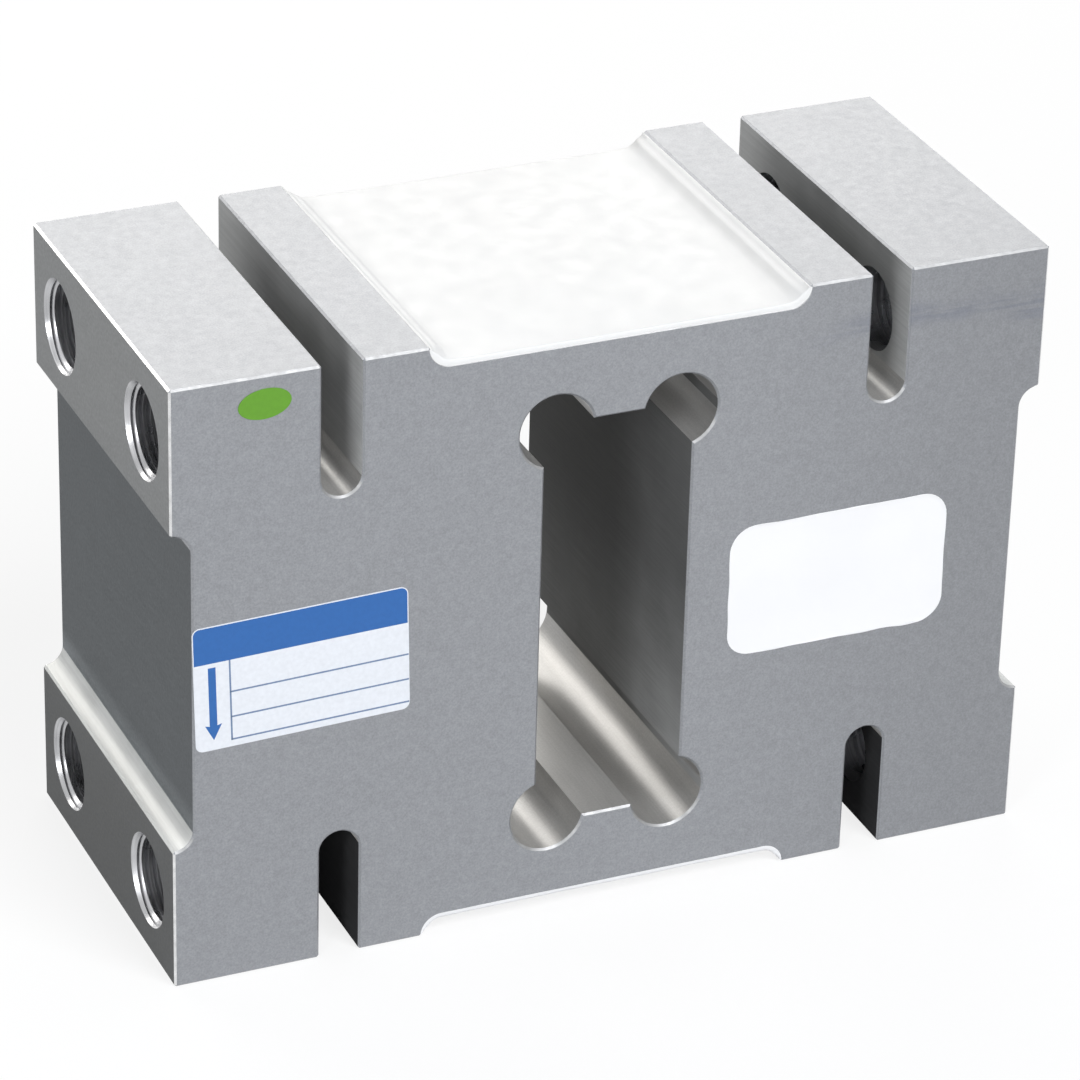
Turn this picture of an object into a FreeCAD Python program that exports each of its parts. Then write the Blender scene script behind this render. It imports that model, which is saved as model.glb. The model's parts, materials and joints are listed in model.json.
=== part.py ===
import FreeCAD, Part
import math
import os
import re

import Sketcher

# Single point load cell: a machined aluminium spring element whose through window leaves four thin
# sections, each under a bonded strain gauge. Gauges, terminals and lead wires lie in shallow recesses under
# silicone. The bridge's resistors sit on a board in a potted cavity in the front face, and the cable enters
# that cavity through a gland in the right end.
#
# Frame: millimetres, +X along the cell to the gland end, +Y to the back, +Z up, origin at the bottom
# centre.

Vector = FreeCAD.Vector
X_AXIS, Y_AXIS, Z_AXIS = Vector(1, 0, 0), Vector(0, 1, 0), Vector(0, 0, 1)

SIZES = [
    # the block and what is milled out of it
    ("body_length", 176, "overall, along X"),
    ("body_width", 76, "overall, along Y"),
    ("body_height", 125, "overall, along Z"),
    ("edge_break", 0.4, "deburring chamfer on the outer edges"),
    ("slot_centre", 55, "from the middle to each isolation slot"),
    ("slot_width", 8, "isolation slot, with a full round end"),
    ("slot_depth", 27, "isolation slot, from top or bottom"),
    ("recess_length", 76, "gauge recess on top and bottom"),
    ("recess_depth", 4, "gauge recess and end recess"),
    ("recess_corner", 4, "corner radius at the foot of a recess wall"),
    ("end_recess_height", 66, "relief between the upper and lower mounting pads"),
    ("window_width", 30, "through window between its straight walls"),
    ("window_height", 85, "through window, floor to ceiling"),
    ("relief_radius", 7.5, "round reliefs in the window's corners"),
    ("relief_x", 12.5, "relief centre from the middle"),
    ("relief_z", 41, "relief centre above or below the middle"),
    # mounting holes, M18 x 1.5, tapped through each end block into its slot
    ("hole_spacing_y", 46, "across the cell"),
    ("hole_spacing_z", 95, "between the upper and lower pads"),
    ("hole_depth", 33, "ends in the slot behind the end block"),
    ("mouth_diameter", 18.5, "countersunk mouth"),
    ("mouth_angle", 60, "countersink angle"),
    # the potted cavity and the drillings that reach it
    ("cavity_left", 24, "from the middle"),
    ("cavity_right", 69.5, "from the middle"),
    ("cavity_height", 27.5, "about mid height"),
    ("cavity_depth", 18, "from the front face"),
    ("cavity_corner", 5, "corner radius"),
    ("way_x", 30, "wire way, drilled from top to bottom through the cavity"),
    ("way_y", -28, "wire way and cable inlet, from the middle plane"),
    ("way_radius", 2, "wire way"),
    ("inlet_radius", 3, "cable inlet behind the gland"),
    ("gland_depth", 8, "tapped part of the inlet, M12 x 1"),
    # silicone and potting
    ("coat_edge", 0.7, "coat thickness at its front, back and corner arcs"),
    ("coat_middle", 1.7, "coat thickness over the terminals"),
    ("potting_dip", 0.2, "potting surface below the front face"),
    # strain gauges and terminals
    ("gauge_length", 10.4, "backing, along X"),
    ("gauge_width", 6.4, "backing and terminal, along Y"),
    ("film", 0.1, "backing film of gauge and terminal"),
    ("foil", 0.05, "foil on the backing film"),
    ("grid_lines", 8, "parallel lines of the measuring grid"),
    ("grid_length", 5.6, "length of the grid's lines"),
    ("grid_pitch", 0.5, "from line to line"),
    ("grid_line", 0.25, "width of a line"),
    ("tab_length", 1.8, "solder tab, along X"),
    ("tab_width", 1.5, "solder tab, along Y"),
    ("terminal_x", 4.4, "terminal centre from the middle"),
    ("terminal_length", 4, "base film, along X"),
    ("pad_length", 3, "copper pad, along X"),
    ("pad_width", 2.4, "copper pad, along Y"),
    ("pad_offset", 1.75, "pad and tab centres from the gauge's axis"),
    ("bead_radius", 0.9, "solder bead, drawn eight-sided, to its corners"),
    ("bead_height", 0.55, "solder bead"),
    # ribbons and lead wires
    ("ribbon_width", 0.4, "flat ribbon from a gauge tab to its terminal"),
    ("ribbon_thickness", 0.1, "flat ribbon"),
    ("ribbon_rise", 0.55, "height of a ribbon's slack arch"),
    ("ribbon_foot", 0.8, "soldered end on a tab"),
    ("lead_radius", 0.25, "insulated lead wire, drawn six-sided, to its corners"),
    ("lead_height", 0.42, "lead centre above the recess floor"),
    ("lead_pitch", 0.9, "between leads in the wire way"),
    # compensation board
    ("board_length", 42.5, "along X"),
    ("board_height", 25, "along Z"),
    ("board_thickness", 1.6, "on the cavity floor"),
    ("board_corner", 4, "corner radius"),
    ("land_size", 1.5, "square solder land for a wire"),
    ("land_pitch", 2.2, "between the lands of the gauge leads"),
    ("land_start", 2.8, "first land inside the cavity's wall"),
    ("core_x", 65.5, "lands for the cable cores"),
    ("core_pitch", 3.5, "between the lands of the cable cores"),
    ("chip_height", 0.6, "ceramic of a resistor"),
    ("cap_length", 0.8, "metal end cap of a resistor"),
    ("cap_skin", 0.05, "end cap over the ceramic"),
    # cable gland
    ("gland_hole", 2.8, "radius of the way through washer and screw"),
    ("sleeve_hole", 2.6, "radius of the way through the rubber sleeve"),
    ("sleeve_length", 5, "rubber sleeve"),
    ("washer_thickness", 0.8, "thrust washer"),
    ("gland_fit", 5.45, "outer radius of sleeve, washer and shank"),
    ("hex_size", 13, "across flats"),
    ("hex_height", 1.5, "a low head, inside the end recess"),
    ("hex_face", 12.2, "round flat inside the chamfer, across"),
    ("hex_slope", 30, "corner chamfer of the hexagon, degrees"),
    # label and sticker
    ("label_width", 42.3, "along X"),
    ("label_height", 26, "along Z"),
    ("label_corner", 1.5, "corner radius"),
    ("label_x", -62.65, "label centre"),
    ("label_z", 63.5, "label centre"),
    ("label_tilt", 1.5, "degrees, anticlockwise seen from the front"),
    ("label_thickness", 0.12, "foil label and sticker"),
    ("sticker_x", -69.9, "sticker centre"),
    ("sticker_z", 119.4, "sticker centre"),
    ("sticker_radius_long", 5.1, "half its length"),
    ("sticker_radius_short", 3, "half its height"),
    ("sticker_tilt", 4, "degrees, anticlockwise seen from the front"),
]

# label, position along X and above mid height, length and width
RESISTORS = [
    ("zero_balance_resistor", 40, 6.5, 3.2, 1.6),
    ("span_set_resistor", 40, -6.5, 3.2, 1.6),
    ("span_temperature_resistor_upper", 52, 6.5, 6.4, 3.2),
    ("span_temperature_resistor_lower", 52, -6.5, 6.4, 3.2),
]

doc = FreeCAD.newDocument("single_point_load_cell")
sheet = doc.addObject("Spreadsheet::Sheet", "sizes")
for row, (alias, number, note) in enumerate(SIZES, start=1):
    sheet.set(f"A{row}", alias)
    sheet.set(f"B{row}", str(number))
    sheet.set(f"C{row}", note)
    sheet.setAlias(f"B{row}", alias)
doc.recompute()

ALIASES = {alias for alias, _, _ in SIZES}


def cells(text):
    """The expression, with each alias pointing into the sheet."""
    return re.sub(r"[a-z_]+", lambda m: f"sizes.{m[0]}" if m[0] in ALIASES else m[0], str(text))


def value(text):
    """What an expression comes to, in millimetres or degrees."""
    result = sheet.evalExpression(cells(text))
    return float(getattr(result, "Value", result))


def bind(thing, **expressions):
    """Bind properties to expressions. A double underscore in a name stands for a dot."""
    for name, text in expressions.items():
        thing.setExpression(name.replace("__", "."), cells(text))


# ---------------------------------------------------------------- sketches


def new_body(label):
    body = doc.addObject("PartDesign::Body", label)
    body.Label = label
    return body


def origin_plane(body, role):
    return next(feature for feature in body.Origin.OriginFeatures if feature.Role == role)


def new_sketch(body, name, role, offset=0):
    """A sketch on one of the body's origin planes, moved along the plane's normal."""
    sketch = body.newObject("Sketcher::SketchObject", name)
    sketch.AttachmentSupport = [(origin_plane(body, role), "")]
    sketch.MapMode = "FlatFace"
    bind(sketch, AttachmentOffset__Base__z=offset)
    return sketch


def dimension(sketch, kind, geometry, text):
    """A driving dimension bound to an expression."""
    number = sketch.addConstraint(Sketcher.Constraint(kind, *geometry, value(text)))
    bind(sketch, **{f"Constraints[{number}]": text})


def place_point(sketch, geometry, point, x, y):
    """Hold one point of a shape at x, y."""
    for kind, axis, text in (("DistanceX", -2, x), ("DistanceY", -1, y)):
        if str(text) == "0":
            sketch.addConstraint(Sketcher.Constraint("PointOnObject", geometry, point, axis))
        else:
            dimension(sketch, kind, (-1, 1, geometry, point), text)


def add_circle(sketch, x, y, radius):
    centre = Vector(value(x), value(y), 0)
    circle = sketch.addGeometry(Part.Circle(centre, Z_AXIS, value(radius)))
    dimension(sketch, "Radius", (circle,), radius)
    place_point(sketch, circle, 3, x, y)


def add_polygon(sketch, corners):
    """A closed outline of straight lines through corners given as pairs of expressions."""
    points = [Vector(value(x), value(y), 0) for x, y in corners]
    lines = [sketch.addGeometry(Part.LineSegment(a, b)) for a, b in zip(points, points[1:] + points[:1])]
    for line, after, (x, y) in zip(lines, lines[1:] + lines[:1], corners[1:] + corners[:1]):
        sketch.addConstraint(Sketcher.Constraint("Coincident", line, 2, after, 1))
        place_point(sketch, after, 1, x, y)


def add_rectangle(sketch, left, right, low, high):
    add_polygon(sketch, [(left, low), (right, low), (right, high), (left, high)])


def add_rounded_rectangle(sketch, left, right, low, high, radius):
    """A rectangle whose four corners are tangent arcs of one radius."""
    x0, x1, y0, y1, r = (value(text) for text in (left, right, low, high, radius))
    sides = [
        (Vector(x0 + r, y0, 0), Vector(x1 - r, y0, 0)),
        (Vector(x1, y0 + r, 0), Vector(x1, y1 - r, 0)),
        (Vector(x1 - r, y1, 0), Vector(x0 + r, y1, 0)),
        (Vector(x0, y1 - r, 0), Vector(x0, y0 + r, 0)),
    ]
    centres = [(x1 - r, y0 + r), (x1 - r, y1 - r), (x0 + r, y1 - r), (x0 + r, y0 + r)]
    lines = [sketch.addGeometry(Part.LineSegment(a, b)) for a, b in sides]
    arcs = []
    for quarter, (x, y) in enumerate(centres):
        start = (quarter - 1) * math.pi / 2
        corner = Part.ArcOfCircle(Part.Circle(Vector(x, y, 0), Z_AXIS, r), start, start + math.pi / 2)
        arcs.append(sketch.addGeometry(corner))
    for line, arc, after in zip(lines, arcs, lines[1:] + lines[:1]):
        sketch.addConstraint(Sketcher.Constraint("Tangent", line, 2, arc, 1))
        sketch.addConstraint(Sketcher.Constraint("Tangent", arc, 2, after, 1))
        sketch.addConstraint(Sketcher.Constraint("Horizontal" if line in lines[::2] else "Vertical", line))
    for arc in arcs[1:]:
        sketch.addConstraint(Sketcher.Constraint("Equal", arcs[0], arc))
    dimension(sketch, "Radius", (arcs[0],), radius)
    dimension(sketch, "DistanceY", (-1, 1, lines[0], 1), low)
    dimension(sketch, "DistanceX", (-1, 1, lines[1], 1), right)
    dimension(sketch, "DistanceY", (-1, 1, lines[2], 1), high)
    dimension(sketch, "DistanceX", (-1, 1, lines[3], 1), left)


def add_round_slot(sketch, x, low, high, width):
    """An upright slot with half-round ends."""
    middle, y0, y1, r = value(x), value(low), value(high), value(width) / 2
    east = Part.LineSegment(Vector(middle + r, y0 + r, 0), Vector(middle + r, y1 - r, 0))
    head = Part.ArcOfCircle(Part.Circle(Vector(middle, y1 - r, 0), Z_AXIS, r), 0, math.pi)
    west = Part.LineSegment(Vector(middle - r, y1 - r, 0), Vector(middle - r, y0 + r, 0))
    foot = Part.ArcOfCircle(Part.Circle(Vector(middle, y0 + r, 0), Z_AXIS, r), math.pi, 2 * math.pi)
    right, top, left, bottom = (sketch.addGeometry(side) for side in (east, head, west, foot))
    for first, second in ((right, top), (top, left), (left, bottom), (bottom, right)):
        sketch.addConstraint(Sketcher.Constraint("Tangent", first, 2, second, 1))
    sketch.addConstraint(Sketcher.Constraint("Vertical", right))
    sketch.addConstraint(Sketcher.Constraint("Equal", top, bottom))
    dimension(sketch, "Radius", (top,), f"{width} / 2")
    place_point(sketch, top, 3, x, f"{high} - {width} / 2")
    dimension(sketch, "DistanceY", (-1, 1, bottom, 3), f"{low} + {width} / 2")


# ---------------------------------------------------------------- features


def pad(body, sketch, name, length, middle=False):
    """Extrude a sketch along its normal, or both ways from its plane."""
    feature = body.newObject("PartDesign::Pad", name)
    feature.Profile = sketch
    feature.SideType = "Symmetric" if middle else "One side"
    bind(feature, Length=length)
    return feature


def pocket(body, sketch, name, length=None):
    """Cut a sketch against its normal to a depth, or right through both ways."""
    doc.recompute()
    before = body.Shape.Volume
    feature = body.newObject("PartDesign::Pocket", name)
    feature.Profile = sketch
    if length is None:
        feature.SideType = "Symmetric"
        feature.Type = "ThroughAll"
    else:
        bind(feature, Length=length)
    doc.recompute()
    assert body.Shape.Volume < before - 1, f"{name} cuts nothing"
    return feature


def tapped_hole(body, sketch, name, thread, depth):
    """A fine-pitch tapped hole, drilled to the tap size."""
    doc.recompute()
    feature = body.newObject("PartDesign::Hole", name)
    feature.Profile = sketch
    feature.ThreadType = "ISOMetricFineProfile"
    feature.ThreadSize = thread
    feature.Threaded = True
    feature.ModelThread = False
    feature.DepthType = "Dimension"
    feature.DrillPoint = "Flat"
    bind(feature, Depth=depth)
    return feature


def mirror(body, name, originals, role):
    """Repeat features on the other side of one of the body's origin planes."""
    feature = body.newObject("PartDesign::Mirrored", name)
    feature.Originals = originals
    feature.MirrorPlane = (origin_plane(body, role), [""])
    body.Tip = feature
    return feature


def cut_away(label, base, tools):
    """What is left of a piece where others fill its space, taken away one after another."""
    left = base
    for tool in tools:
        cut = doc.addObject("Part::Cut", f"{label}_less_{tool.Name}")
        cut.Base = left
        cut.Tool = tool
        left = cut
    left.Label = label
    return left


def raised_strips(body, name, role, base, strips):
    """Rectangles of foil on a film or board. Each strip is left, right, low, high."""
    sketch = new_sketch(body, f"{name}_outline", role, base)
    for strip in strips:
        add_rectangle(sketch, *strip)
    return pad(body, sketch, name, "foil")


# ---------------------------------------------------------------- spring element


def outline_edges(shape):
    """Names of the edges to deburr: the outlines of both side faces, and the long outer corners."""
    half_length = value("body_length / 2")
    half_width = value("body_width / 2")
    half_height = value("body_height / 2")
    cavity_left, cavity_right = value("cavity_left"), value("cavity_right")
    half_cavity = value("cavity_height / 2")
    near = 1e-4
    names = []
    for number, edge in enumerate(shape.Edges, start=1):
        box = edge.BoundBox
        side = box.YLength < near and abs(abs(box.YMin) - half_width) < near
        mouth = (
            cavity_left - near < box.XMin
            and box.XMax < cavity_right + near
            and abs(box.ZMin) < half_cavity + near
            and abs(box.ZMax) < half_cavity + near
        )
        runs_across = box.YLength > 2 * half_width - near
        outer = abs(abs(box.XMin) - half_length) < near or abs(abs(box.ZMin) - half_height) < near
        straight = box.XLength < near and box.ZLength < near
        if (side and not mouth) or (runs_across and straight and outer):
            names.append(f"Edge{number}")
    return names


def make_sensing_element():
    """The block, modelled about its centre and stood on its bottom face."""
    body = new_body("sensing_element")
    bind(body, Placement__Base__z="body_height / 2")

    block = new_sketch(body, "block_outline", "XZ_Plane")
    add_rectangle(block, "-body_length / 2", "body_length / 2", "-body_height / 2", "body_height / 2")
    pad(body, block, "block", "body_width", middle=True)

    slots = new_sketch(body, "slot_outlines", "XZ_Plane")
    for side in ("-", ""):
        low, high = "body_height / 2 - slot_depth", "body_height / 2 + slot_width"
        add_round_slot(slots, f"{side}slot_centre", low, high, "slot_width")
    upper_slots = pocket(body, slots, "upper_slots")

    # only the recesses' two inner corners are rounded, so their outlines run on well clear of the block
    recess = new_sketch(body, "recess_outline", "XZ_Plane")
    half, floor = "recess_length / 2", "body_height / 2 - recess_depth"
    clear = f"{floor} + 4 * recess_corner"
    add_rounded_rectangle(recess, f"-{half}", half, floor, clear, "recess_corner")
    upper_recess = pocket(body, recess, "upper_recess")
    mirror(body, "lower_slots_and_recess", [upper_slots, upper_recess], "XY_Plane")

    end = new_sketch(body, "end_recess_outline", "XZ_Plane")
    half, floor = "end_recess_height / 2", "body_length / 2 - recess_depth"
    clear = f"{floor} + 4 * recess_corner"
    add_rounded_rectangle(end, floor, clear, f"-{half}", half, "recess_corner")
    right_recess = pocket(body, end, "right_end_recess")
    mirror(body, "left_end_recess", [right_recess], "YZ_Plane")

    window = new_sketch(body, "window_outline", "XZ_Plane")
    half, rise = "window_width / 2", "window_height / 2"
    add_rectangle(window, f"-{half}", half, f"-{rise}", rise)
    pocket(body, window, "window")
    reliefs = new_sketch(body, "relief_outlines", "XZ_Plane")
    for x in ("-relief_x", "relief_x"):
        for z in ("-relief_z", "relief_z"):
            add_circle(reliefs, x, z, "relief_radius")
    pocket(body, reliefs, "reliefs")

    holes = new_sketch(body, "mounting_hole_centres", "YZ_Plane", "body_length / 2")
    for y in ("-hole_spacing_y / 2", "hole_spacing_y / 2"):
        for z in ("-hole_spacing_z / 2", "hole_spacing_z / 2"):
            add_circle(holes, y, z, "mouth_diameter / 2")
    right_holes = tapped_hole(body, holes, "right_mounting_holes", "M18x1.5", "hole_depth")
    right_holes.HoleCutType = "Countersink"
    right_holes.HoleCutCustomValues = True
    bind(right_holes, HoleCutDiameter="mouth_diameter", HoleCutCountersinkAngle="mouth_angle")
    mirror(body, "left_mounting_holes", [right_holes], "YZ_Plane")

    cavity = new_sketch(body, "cavity_outline", "XZ_Plane", "body_width / 2")
    half = "cavity_height / 2"
    add_rounded_rectangle(cavity, "cavity_left", "cavity_right", f"-{half}", half, "cavity_corner")
    pocket(body, cavity, "side_cavity", "cavity_depth")
    way = new_sketch(body, "wire_way_outline", "XY_Plane")
    add_circle(way, "way_x", "way_y", "way_radius")
    pocket(body, way, "wire_ways")
    inlet = new_sketch(body, "inlet_outline", "YZ_Plane", "body_length / 2 - recess_depth")
    add_circle(inlet, "way_y", 0, "inlet_radius")
    pocket(body, inlet, "cable_inlet", "body_length / 2 - recess_depth - cavity_right + inlet_radius")
    tapped_hole(body, inlet, "gland_thread", "M12x1.0", "gland_depth")

    doc.recompute()
    machined = body.Tip
    chamfer = body.newObject("PartDesign::Chamfer", "edge_breaks")
    chamfer.Base = (machined, outline_edges(machined.Shape))
    bind(chamfer, Size="edge_break")
    return body


# ---------------------------------------------------------------- gauges and terminals

# The pieces in a gauge recess are modelled on its floor, with z out of the block. The bottom set is turned
# over about X, so there the wire way lies at +Y.
FACES = [("top", -1), ("bottom", 1)]
SIDES = [("left", -1), ("right", 1)]
MITRED = 1


def seat_on_floor(thing, face):
    """Stand a piece on the floor of the top or bottom recess."""
    if face == "top":
        bind(thing, Placement__Base__z="body_height - recess_depth")
    else:
        thing.Placement = FreeCAD.Placement(Vector(), FreeCAD.Rotation(X_AXIS, 180))
        bind(thing, Placement__Base__z="recess_depth")


def shift(text, centre):
    """An expression moved by the gauge's or terminal's own place along X."""
    return f"{centre} + ({text})"


def make_gauge(face, side_name, side):
    """A foil gauge over a thin section, its solder tabs towards the middle of the cell."""
    body = new_body(f"strain_gauge_{face}_{side_name}")
    seat_on_floor(body, face)
    centre = f"{side} * relief_x"
    film = new_sketch(body, "film_outline", "XY_Plane")
    edges = [shift(f"{sign} * gauge_length / 2", centre) for sign in (-1, 1)]
    add_rectangle(film, edges[0], edges[1], "-gauge_width / 2", "gauge_width / 2")
    pad(body, film, "film_base", "film")

    # the grid runs to and fro: lines side by side, joined in pairs at alternate ends
    lines = int(value("grid_lines"))
    outer, inner = f"{side} * grid_length / 2", f"-{side} * grid_length / 2"
    line_y = [f"{index - (lines - 1) / 2} * grid_pitch" for index in range(lines)]
    span_x = sorted((shift(outer, centre), shift(inner, centre)), key=value)
    strips = [(*span_x, f"{y} - grid_line / 2", f"{y} + grid_line / 2") for y in line_y]
    for index in range(lines - 1):
        end = outer if index % 2 == 0 else inner
        past_end = f"{end} + ({end}) / abs({end}) * grid_line"
        loop_x = sorted((shift(end, centre), shift(past_end, centre)), key=value)
        loop_y = (f"{line_y[index]} - grid_line / 2", f"{line_y[index + 1]} + grid_line / 2")
        strips.append((*loop_x, *loop_y))
    for number, strip in enumerate(strips):
        raised_strips(body, f"grid_{number}", "XY_Plane", "film", [strip])

    tab_middle = f"-{side} * (gauge_length / 2 - tab_length / 2 - film)"
    tab_x = [shift(f"{tab_middle} + {sign} * tab_length / 2", centre) for sign in (-1, 1)]
    tabs = []
    for y in ("-pad_offset", "pad_offset"):
        tabs.append((*tab_x, f"{y} - tab_width / 2", f"{y} + tab_width / 2"))
    raised_strips(body, "tabs", "XY_Plane", "film", tabs)
    return body


def make_terminal(face, side_name, side):
    """A bondable terminal: two copper pads on a film, each with a bead of solder."""
    body = new_body(f"terminal_{face}_{side_name}")
    seat_on_floor(body, face)
    centre = f"{side} * terminal_x"
    film = new_sketch(body, "film_outline", "XY_Plane")
    left, right = (f"{centre} {sign} terminal_length / 2" for sign in "-+")
    add_rectangle(film, left, right, "-gauge_width / 2", "gauge_width / 2")
    pad(body, film, "film_base", "film")
    rows = ("-pad_offset", "pad_offset")
    pad_x = [f"{centre} {sign} pad_length / 2" for sign in "-+"]
    pads = [(*pad_x, f"{y} - pad_width / 2", f"{y} + pad_width / 2") for y in rows]
    raised_strips(body, "copper", "XY_Plane", "film", pads)
    beads = new_sketch(body, "bead_outlines", "XY_Plane", "film + foil")
    for y in rows:
        around = [(f"bead_radius * cos({a})", f"bead_radius * sin({a})") for a in range(0, 360, 45)]
        add_polygon(beads, [(f"{centre} + {across}", f"{y} + {along}") for across, along in around])
    pad(body, beads, "solder_beads", "bead_height")
    return body


# ---------------------------------------------------------------- ribbons and lead wires


def make_ribbon(points, y):
    """A flat ribbon whose underside follows points given as x, z."""
    width, thickness = value("ribbon_width"), value("ribbon_thickness")
    under = [Vector(x, y - width / 2, z) for x, z in points]
    over = [point + Vector(0, 0, thickness) for point in reversed(under)]
    return Part.Face(Part.makePolygon([*under, *over, under[0]])).extrude(Vector(0, width, 0))


def tab_ribbon_points(side):
    """From a gauge tab up, over and down into the terminal's bead."""
    low, high = value("film + foil"), value("film + foil + ribbon_rise")
    heel = value("relief_x - gauge_length / 2 + tab_length / 2 + film + ribbon_foot / 2")
    toe = heel - value("ribbon_foot")
    rim = value("terminal_x + bead_radius + ribbon_thickness")
    rise = high - low
    points = [(heel, low), (toe, low), (toe - rise, high), (rim + rise, high), (rim, low)]
    points.append((value("terminal_x"), low))
    return [(side * x, z) for x, z in points]


def hexagon(centre, axis, radius):
    """A six-sided outline round an axis, with its corners at the radius."""
    turn = FreeCAD.Rotation(Z_AXIS, axis)
    angles = [math.radians(degrees) for degrees in range(0, 360, 60)]
    corners = [centre + turn.multVec(Vector(radius * math.cos(a), radius * math.sin(a), 0)) for a in angles]
    return Part.makePolygon([*corners, corners[0]])


def make_lead(way, lane, start_x, start_y):
    """A wire from a bead straight to the wire way, down it and across to the board."""
    radius, height, way_x = value("lead_radius"), value("lead_height"), value("way_x")
    lane_y = way * (abs(value("way_y")) + (1 - lane) * value("lead_pitch"))
    drop = value("(body_height - cavity_height) / 2 - recess_depth + land_start")
    depth = -drop - (2 - lane) * value("land_pitch")
    board_y = way * value("body_width / 2 - cavity_depth + board_thickness + foil")
    points = [
        Vector(start_x, start_y, height),
        Vector(way_x, lane_y, height),
        Vector(way_x, lane_y, depth),
        Vector(way_x, board_y, depth),
    ]
    path = Part.makePolygon(points)
    section = hexagon(points[0], points[1] - points[0], radius)
    wire = path.makePipeShell([section], True, False, MITRED)
    expected = Part.Face(section).Area * path.Length
    assert abs(wire.Volume - expected) < 0.01 * expected, "a lead lost its section"
    return wire


def make_lead_wires(face, way, terminals):
    """The ribbons and leads of one recess. Its two gauges are a half bridge, joined by a ribbon
    between the far beads, so three leads go to the board. All end at the solder that holds them."""
    near, far = way * value("pad_offset"), -way * value("pad_offset")
    left_x, right_x = -value("terminal_x"), value("terminal_x")
    shapes = [make_ribbon(tab_ribbon_points(side), y) for _, side in SIDES for y in (near, far)]
    bridge_z = value("film + foil + ribbon_thickness")
    shapes.append(make_ribbon([(left_x, bridge_z), (right_x, bridge_z)], far))
    for lane, (x, y) in enumerate([(left_x, near), (left_x, far), (right_x, near)]):
        shapes.append(make_lead(way, lane, x, y))
    loose = doc.addObject("Part::Feature", f"{face}_wires_untrimmed")
    loose.Shape = Part.makeCompound(shapes)
    seat_on_floor(loose, face)
    return cut_away(f"{face}_lead_wires", loose, terminals)


# ---------------------------------------------------------------- silicone and potting


def coat_section(body):
    """Across the recess: floor and corner arcs below, a thin layer up the arcs and a low dome above."""
    sketch = new_sketch(body, "coat_section", "XZ_Plane")
    half, corner = value("recess_length / 2"), value("recess_corner")
    edge, crown = value("coat_edge"), value("coat_middle")
    foot = half - corner
    centres = [Vector(-foot, corner, 0), Vector(foot, corner, 0)]
    quarters = [(math.pi, 1.5 * math.pi), (1.5 * math.pi, 2 * math.pi)]
    outer = []
    inner = []
    for centre, quarter in zip(centres, quarters):
        shell = Part.ArcOfCircle(Part.Circle(centre, Z_AXIS, corner), *quarter)
        lining = Part.ArcOfCircle(Part.Circle(centre, Z_AXIS, corner - edge), *quarter)
        outer.append(sketch.addGeometry(shell))
        inner.append(sketch.addGeometry(lining))
    floor = sketch.addGeometry(Part.LineSegment(Vector(-foot, 0, 0), Vector(foot, 0, 0)))
    lips = []
    for sign in (-1, 1):
        start, stop = sorted((sign * half, sign * (half - edge)), reverse=sign > 0)
        lip = Part.LineSegment(Vector(start, corner, 0), Vector(stop, corner, 0))
        lips.append(sketch.addGeometry(lip))
    dome_arc = Part.Arc(Vector(foot, edge, 0), Vector(0, crown, 0), Vector(-foot, edge, 0))
    dome = sketch.addGeometry(dome_arc)
    for joint in ((outer[0], 2, floor, 1), (floor, 2, outer[1], 1)):
        sketch.addConstraint(Sketcher.Constraint("Tangent", *joint))
    joints = [
        (outer[1], 2, lips[1], 1),
        (lips[1], 2, inner[1], 2),
        (inner[1], 1, dome, 1),
        (dome, 2, inner[0], 2),
        (inner[0], 1, lips[0], 2),
        (lips[0], 1, outer[0], 1),
    ]
    for joint in joints:
        sketch.addConstraint(Sketcher.Constraint("Coincident", *joint))
    sketch.addConstraint(Sketcher.Constraint("Horizontal", floor))
    sketch.addConstraint(Sketcher.Constraint("PointOnObject", floor, 1, -1))
    foot_x = "(recess_length / 2 - recess_corner)"
    for shell, lining, lip, sign, foot_end in zip(outer, inner, lips, ("-", ""), (2, 1)):
        dimension(sketch, "Radius", (shell,), "recess_corner")
        dimension(sketch, "DistanceX", (-1, 1, shell, 3), f"{sign}{foot_x}")
        sketch.addConstraint(Sketcher.Constraint("Coincident", lining, 3, shell, 3))
        dimension(sketch, "Radius", (lining,), "recess_corner - coat_edge")
        dimension(sketch, "DistanceX", (-1, 1, lining, foot_end), f"{sign}{foot_x}")
        sketch.addConstraint(Sketcher.Constraint("Horizontal", lip))
        dimension(sketch, "DistanceY", (-1, 1, lip, 1), "recess_corner")
    dimension(sketch, "Radius", (dome,), arch_radius(foot_x))
    return sketch


def arch_radius(reach):
    """Radius of an arc that rises from the coat's edge to its middle over the reach on each side."""
    rise = "(coat_middle - coat_edge)"
    return f"({reach}^2 + {rise}^2) / (2 * {rise})"


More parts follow.
